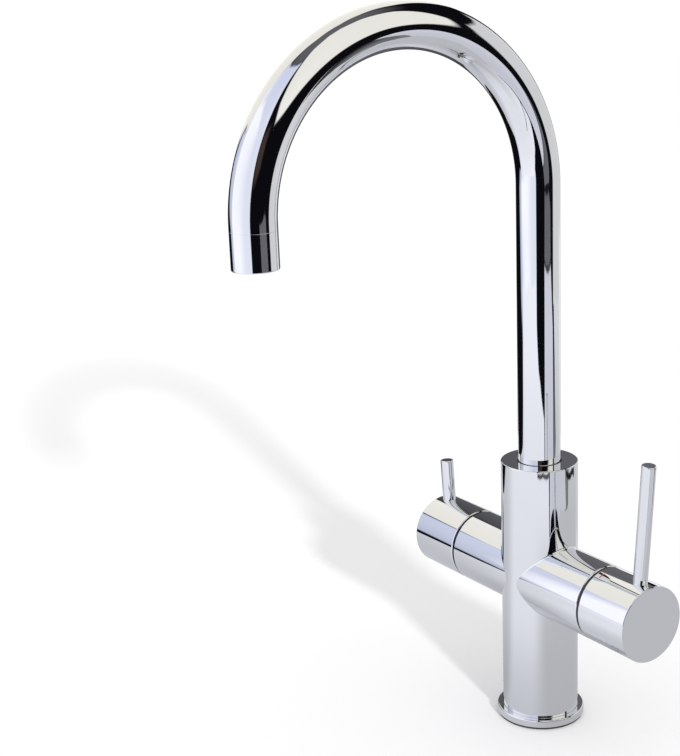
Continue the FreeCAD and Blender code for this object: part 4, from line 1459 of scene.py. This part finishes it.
PANELS: tuple[Panel, ...] = (
    Panel("front_softbox", (
        (-82, 2, DIM_BLUE), (-72, 14, DIM_BLUE), (-60, 17, BLUISH), (-53.5, 22, BLUISH),
        (-49.5, 30, PALE_BLUE), (-47, 40, BRIGHT), (-43, 60, BLUISH), (0, 65, BLUISH), (42, 63, BLUISH),
        (44, 34, PALE_BLUE), (43, 4, PALE_BLUE), (41, -12, PALE_BLUE), (42, -19, PALE_BLUE),
        (20, -19, PALE_BLUE), (0, -19, BRIGHT), (-24, -19, BRIGHT), (-38, -19, PALE_BLUE),
        (-48, -19, DIM_BLUE), (-56, -17.5, DIM_BLUE), (-64, -10, DIM_BLUE),
    )),
    Panel("softbox_core", (
        (-45, -13, BRIGHT), (-46, 20, BRIGHT), (-42, 36, BRIGHT), (-20, 41, BRIGHT), (0, 36, BRIGHT),
        (18, 28, PALE_BLUE), (18, -13, PALE_BLUE), (-10, -13, BRIGHT),
    ), feather=5.0, distance=1.28),
    Panel("right_panel", (
        (48, 72, CREAM), (55, 50, CREAM), (62, 34, CREAM), (75, 19, PALE_CREAM), (90, 14, PALE_CREAM),
        (105, 10, CREAM), (118, 6, CREAM), (125, 4, CREAM), (134, 14, CREAM), (146, 31, CREAM),
        (150, 58, CREAM), (140, 72, CREAM), (110, 80, CREAM), (70, 80, CREAM),
    )),
    Panel("back_wall", (
        (136, -24, LIGHT_GREY), (137, 2, LIGHT_GREY), (142, 13, LIGHT_GREY), (152, 25, LIGHT_GREY),
        (165, 29, LIGHT_GREY), (182, 30, LIGHT_GREY), (208, 26, LIGHT_GREY), (208, -24, LIGHT_GREY),
    )),
    Panel("left_panel", (
        (-128, 0, PALE_CREAM), (-96, 0, PALE_CREAM), (-84, 8, CREAM), (-68, 19, CREAM), (-60, 19, CREAM),
        (-52, 25, CREAM), (-48, 36, CREAM), (-46, 60, CREAM), (-62, 74, CREAM), (-110, 77, CREAM),
        (-136, 70, CREAM), (-148, 56, CREAM), (-140, 30, PALE_CREAM),
    ), feather=1.0),
    Panel("grey_wall", (
        (-156, -40, DUSK), (-156, 9, DUSK), (-138, 10, DUSK), (-126, 10, DUSK), (-117, 9, NIGHT),
        (-117, -42, NIGHT),
    ), feather=1.0, distance=0.43),
    Panel("low_wall", (
        (180, -30, SNOW), (180, -10, SNOW), (228, -10, SNOW), (228, -30, SNOW),
    )),
    Panel("brown_curtain", (
        (52, 6, BROWN), (51, 22, BROWN), (62, 20, BROWN), (66, 8, BROWN),
    ), feather=5.0, distance=1.5),
)


@dataclass(frozen=True)
class Sheet:
    """A sheet on the table as the chrome mirrors it, in plan.

    The corners are distance from the tap in millimetres and azimuth in degrees. The sheet glows
    with painted light that stands for the lit table, from a near over a middle to a far tone; the
    darker near tone is painted shade round the tap. Painted shade lies behind the tap on the right,
    and a darker painted shade on the left. Ranges are metres from the tap, turns are parts of the
    direction.
    """

    name: str
    corners: tuple[Pair, ...]
    near: Colour = BLACK
    middle: Colour = BLACK
    far: Colour = BLACK
    height: float = 0.0
    shade: Colour = (0.52, 0.52, 0.53)
    shading: float = 0.0
    left_shading: float = 0.32
    near_range: Pair = (0.02, 0.2)
    far_range: Pair = (0.2, 1.1)
    near_turn: Pair = (-0.35, 0.45)
    far_turn: Pair = (0.5, 0.72)
    turn_range: Pair = (0.12, 0.4)
    left_turn: Pair = (0.45, 1.0)
    least_distance: float = 0.01

    def tone(self, shader: Shader) -> Socket:
        """Colour of the light over the sheet.

        Args:
            shader: The sheet's material.

        Returns:
            The colour socket.
        """
        away = shader.value("ShaderNodeVectorMath", {0: shader.place}, out=1, operation="LENGTH")
        axes = shader.add("ShaderNodeSeparateXYZ", {0: shader.place}).outputs
        x = Value(shader, axes[0])
        y = Value(shader, axes[1])
        divisor = away.at_least(self.least_distance)
        # Painted light: darker near the tap, which is painted shade round its foot, brighter further off.
        tone = shader.blend(away.ramp(*self.near_range), self.near, self.middle)
        tone = shader.blend(away.ramp(*self.far_range), tone, self.far)
        # Painted shade behind the tap on the right, strongest near it.
        behind = (x + y) * math.sqrt(0.5) / divisor
        near = behind.ramp(*self.near_turn)
        far = behind.ramp(*self.far_turn)
        turned = near + (far - near) * away.ramp(*self.turn_range)
        tone = shader.blend(turned * self.shading, tone, self.shade)
        # Darker painted shade on the left of the tap.
        left = (x * -1.0 / divisor).ramp(*self.left_turn)
        return shader.blend(left * self.left_shading, tone, BLACK)

    def build(self) -> None:
        """Lays the sheet down."""
        places = [bearing(azimuth, 0) * distance * MM for distance, azimuth in self.corners]
        shader = Shader(self.name)
        shader.glow(self.tone(shader))
        level = Vector((0, 0, self.height * MM))
        faces = [range(len(places))]
        mirrored_only(staged(self.name, [place + level for place in places], faces, shader.material))


# Sheets that glow with painted light; their darker near tones are painted shade round the tap.
SHEETS: tuple[Sheet, ...] = (
    Sheet("front_sheet", (
        (900, -104), (600, -98), (410, -89), (410, -80), (510, -66), (520, -56), (540, -48), (680, -44),
        (1300, -41), (1300, 0), (1300, 35), (980, 41), (820, 48), (760, 57), (680, 67), (630, 77),
        (270, 77.4), (290, 92), (400, 112), (400, 145), (400, 180), (270, -150),
    ), (0.66, 0.665, 0.71), (0.93, 0.935, 0.99), (1.08, 1.09, 1.15), height=-0.4, shading=0.8),
    Sheet("right_sheet", (
        (265, 78), (640, 80.5), (1400, 82), (1400, 117), (1000, 129), (700, 136), (392, 136), (392, 112),
        (283, 92),
    ), (0.6, 0.61, 0.66), (0.72, 0.74, 0.81), (0.84, 0.86, 0.96), height=-0.2, shading=0.3),
    Sheet("back_sheet", (
        (392, 141), (700, 146), (1200, 136), (2500, 137), (2500, 180), (2500, -140), (900, -106),
        (265, -150), (392, 180),
    ), (0.6, 0.6, 0.62), (0.66, 0.66, 0.68), (0.98, 0.98, 1.0), height=-0.3, shading=0.35),
    Sheet("far_sheet", (
        (1450, 82), (2100, 84), (2100, 108), (1900, 116), (1450, 116),
    ), DUSK, DUSK, DUSK, height=-0.25),
    Sheet("sheet_joint", (
        (385, 133), (480, 130), (560, 129.5), (664, 130), (870, 129.5), (1135, 128), (1135, 137),
        (870, 142), (664, 146), (560, 150), (500, 146), (450, 142), (385, 139),
    ), JOINT_GREY, JOINT_GREY, height=-0.15),
    Sheet("sheet_bar", (
        (469, 134), (465, 160), (464, 167), (455, 168), (455, 171), (463, 172), (484, 172), (485, 160),
        (489, 134),
    ), height=-0.12),
    Sheet("sheet_edge", (
        (476, 44), (476, 60), (475, 77), (490, 77), (490, 60), (490, 44),
    ), height=-0.1),
)


@dataclass
class Studio:
    """White table, soft panels that the chrome mirrors, one key lamp and the camera, in metres."""

    eye: Triple = (0.658747, -0.559416, 0.457212)
    right: Triple = (0.54811222, 0.83546073, -0.03972869)
    up: Triple = (-0.20366132, 0.17938227, 0.9624677)
    forward: Triple = (-0.81123059, 0.5194491, -0.26847265)
    lens: float = 72.70
    sensor: float = 36.0
    sight: Pair = (0.01, 50.0)
    centre: Triple = (0.0, -0.09, 0.38)
    ambient: float = 0.86
    key_bearing: Pair = (76.8, 24.1)
    key_spread: float = 4.0
    key_power: float = 1.55
    floor_reach: float = 30.0
    floor_height: float = -0.0002
    floor_white: Colour = (0.96, 0.96, 0.96)
    floor_fleck: Colour = (0.9696, 0.9696, 0.9696)
    room_reach: float = 4.0
    room_rows: int = 30
    room_columns: int = 60
    room_dark: Colour = (0.004, 0.004, 0.006)
    # Grey glow of the ceiling: painted light.
    ceiling_glow: Colour = (0.14, 0.14, 0.15)
    ceiling_rise: Pair = (3.6, 4.3)

    def build_camera(self) -> None:
        """Sets the camera where the photograph was taken from."""
        data = bpy.data.cameras.new("camera")
        data.lens = self.lens
        data.sensor_width = self.sensor
        data.clip_start, data.clip_end = self.sight
        camera = bpy.data.objects.new("camera", data)
        axes = Matrix((self.right, self.up, tuple(-value for value in self.forward))).transposed()
        camera.matrix_world = Matrix.Translation(self.eye) @ axes.to_4x4()
        bpy.context.scene.collection.objects.link(camera)
        bpy.context.scene.camera = camera

    def build_world(self) -> None:
        """White for what is seen directly or mirrored, a plain level for the light itself."""
        world = bpy.data.worlds.new("studio")
        world.use_nodes = True
        tree = Tree(world.node_tree)
        tree.nodes.nodes.clear()
        path = tree.add("ShaderNodeLightPath").outputs
        seen = Value(tree, path["Is Camera Ray"])
        for kind in ("Is Glossy Ray", "Is Transmission Ray"):
            seen = seen.at_least(Value(tree, path[kind]))
        level = seen * (1.0 - self.ambient) + self.ambient
        background = tree.add("ShaderNodeBackground", {"Color": (1, 1, 1, 1), "Strength": level})
        tree.add("ShaderNodeOutputWorld", {"Surface": background})
        bpy.context.scene.world = world

    def build_floor(self) -> None:
        """Lays the white floor, which is clear from below and isn't mirrored."""
        shader = Shader("floor")
        tone = shader.blend(shader.noise(scale=6.0), self.floor_white, self.floor_fleck)
        shader.surface("ShaderNodeMixShader", {
            0: shader.add("ShaderNodeNewGeometry").outputs["Backfacing"],
            1: shader.add("ShaderNodeBsdfDiffuse", {"Color": tone}),
            2: shader.add("ShaderNodeBsdfTransparent"),
        })
        signs = ((-1, -1), (1, -1), (1, 1), (-1, 1))
        places = [(x * self.floor_reach, y * self.floor_reach, self.floor_height) for x, y in signs]
        floor = staged("floor", places, [range(len(places))], shader.material)
        floor.visible_glossy = False

    def build_room(self) -> None:
        """Puts a dark room with a grey ceiling round the set."""
        elevations = between(-90, 90, self.room_rows)
        azimuths = between(-180, 180, self.room_columns)
        centre = Vector(self.centre)
        places = [centre + bearing(a, e) * self.room_reach for e in elevations for a in azimuths]
        faces = []
        for row, column in product(range(self.room_rows), range(self.room_columns)):
            first = row * len(azimuths) + column
            above = first + len(azimuths)
            faces.append((first, first + 1, above + 1, above))
        # The room glows faintly and its ceiling glows grey: painted light that only the chrome mirrors.
        shader = Shader("dark_room")
        height = shader.value("ShaderNodeSeparateXYZ", {0: shader.place}, out=2)
        ceiling = height.ramp(*self.ceiling_rise)
        shader.glow(shader.blend(ceiling, self.room_dark, self.ceiling_glow))
        mirrored_only(staged("dark_room", places, faces, shader.material))

    def build_panels(self) -> None:
        """Hangs up the panels, which glow with their own light and fade out at the rim."""
        shader = Shader("panel_glow")
        shader.material.cycles.emission_sampling = "NONE"
        glow = shader.add("ShaderNodeAttribute", attribute_name="glow").outputs
        shader.surface("ShaderNodeMixShader", {
            0: glow["Alpha"],
            1: shader.add("ShaderNodeBsdfTransparent"),
            2: shader.add("ShaderNodeEmission", {"Color": glow["Color"]}),
        })
        for panel in PANELS:
            panel.build(Vector(self.centre), shader.material)

    def build_key(self) -> None:
        """Sets up the key lamp."""
        data = bpy.data.lights.new("key", "SUN")
        data.angle = math.radians(self.key_spread)
        data.energy = self.key_power
        key = bpy.data.objects.new("key", data)
        key.rotation_mode = "QUATERNION"
        key.rotation_quaternion = bearing(*self.key_bearing).to_track_quat("Z", "Y")
        key.visible_glossy = False
        bpy.context.scene.collection.objects.link(key)

    def build(self) -> None:
        """Builds the whole studio."""
        bpy.context.scene.view_settings.view_transform = "Standard"
        self.build_camera()
        self.build_world()
        self.build_floor()
        for sheet in SHEETS:
            sheet.build()
        self.build_room()
        self.build_panels()
        self.build_key()


def dress_nodes() -> None:
    """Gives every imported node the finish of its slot."""
    for part in frame["record"]["subparts"]:
        for place in frame["nodes"][part["node"]].material_slots:
            place.material = finish_of(Slot(part["material_slot"]))


def write_sizes() -> None:
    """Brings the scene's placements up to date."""
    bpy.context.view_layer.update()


def main() -> None:
    """Builds the tap's looks and the studio round it."""
    logging.basicConfig(level=logging.INFO, format="%(message)s")
    dress_nodes()
    Casting().build()
    Underside().build()
    Spout().build()
    Control(Side.RIGHT, Body.MIXER, "mixer", length=35.95, lever_length=70.4, lever_inset=9.1).build()
    Control(Side.LEFT, Body.BOIL, "boil", length=37.85, lever_length=26.0, lever_inset=7.0).build()
    HotMark().build()
    Studio().build()
    write_sizes()


if __name__ == "__main__":
    main()
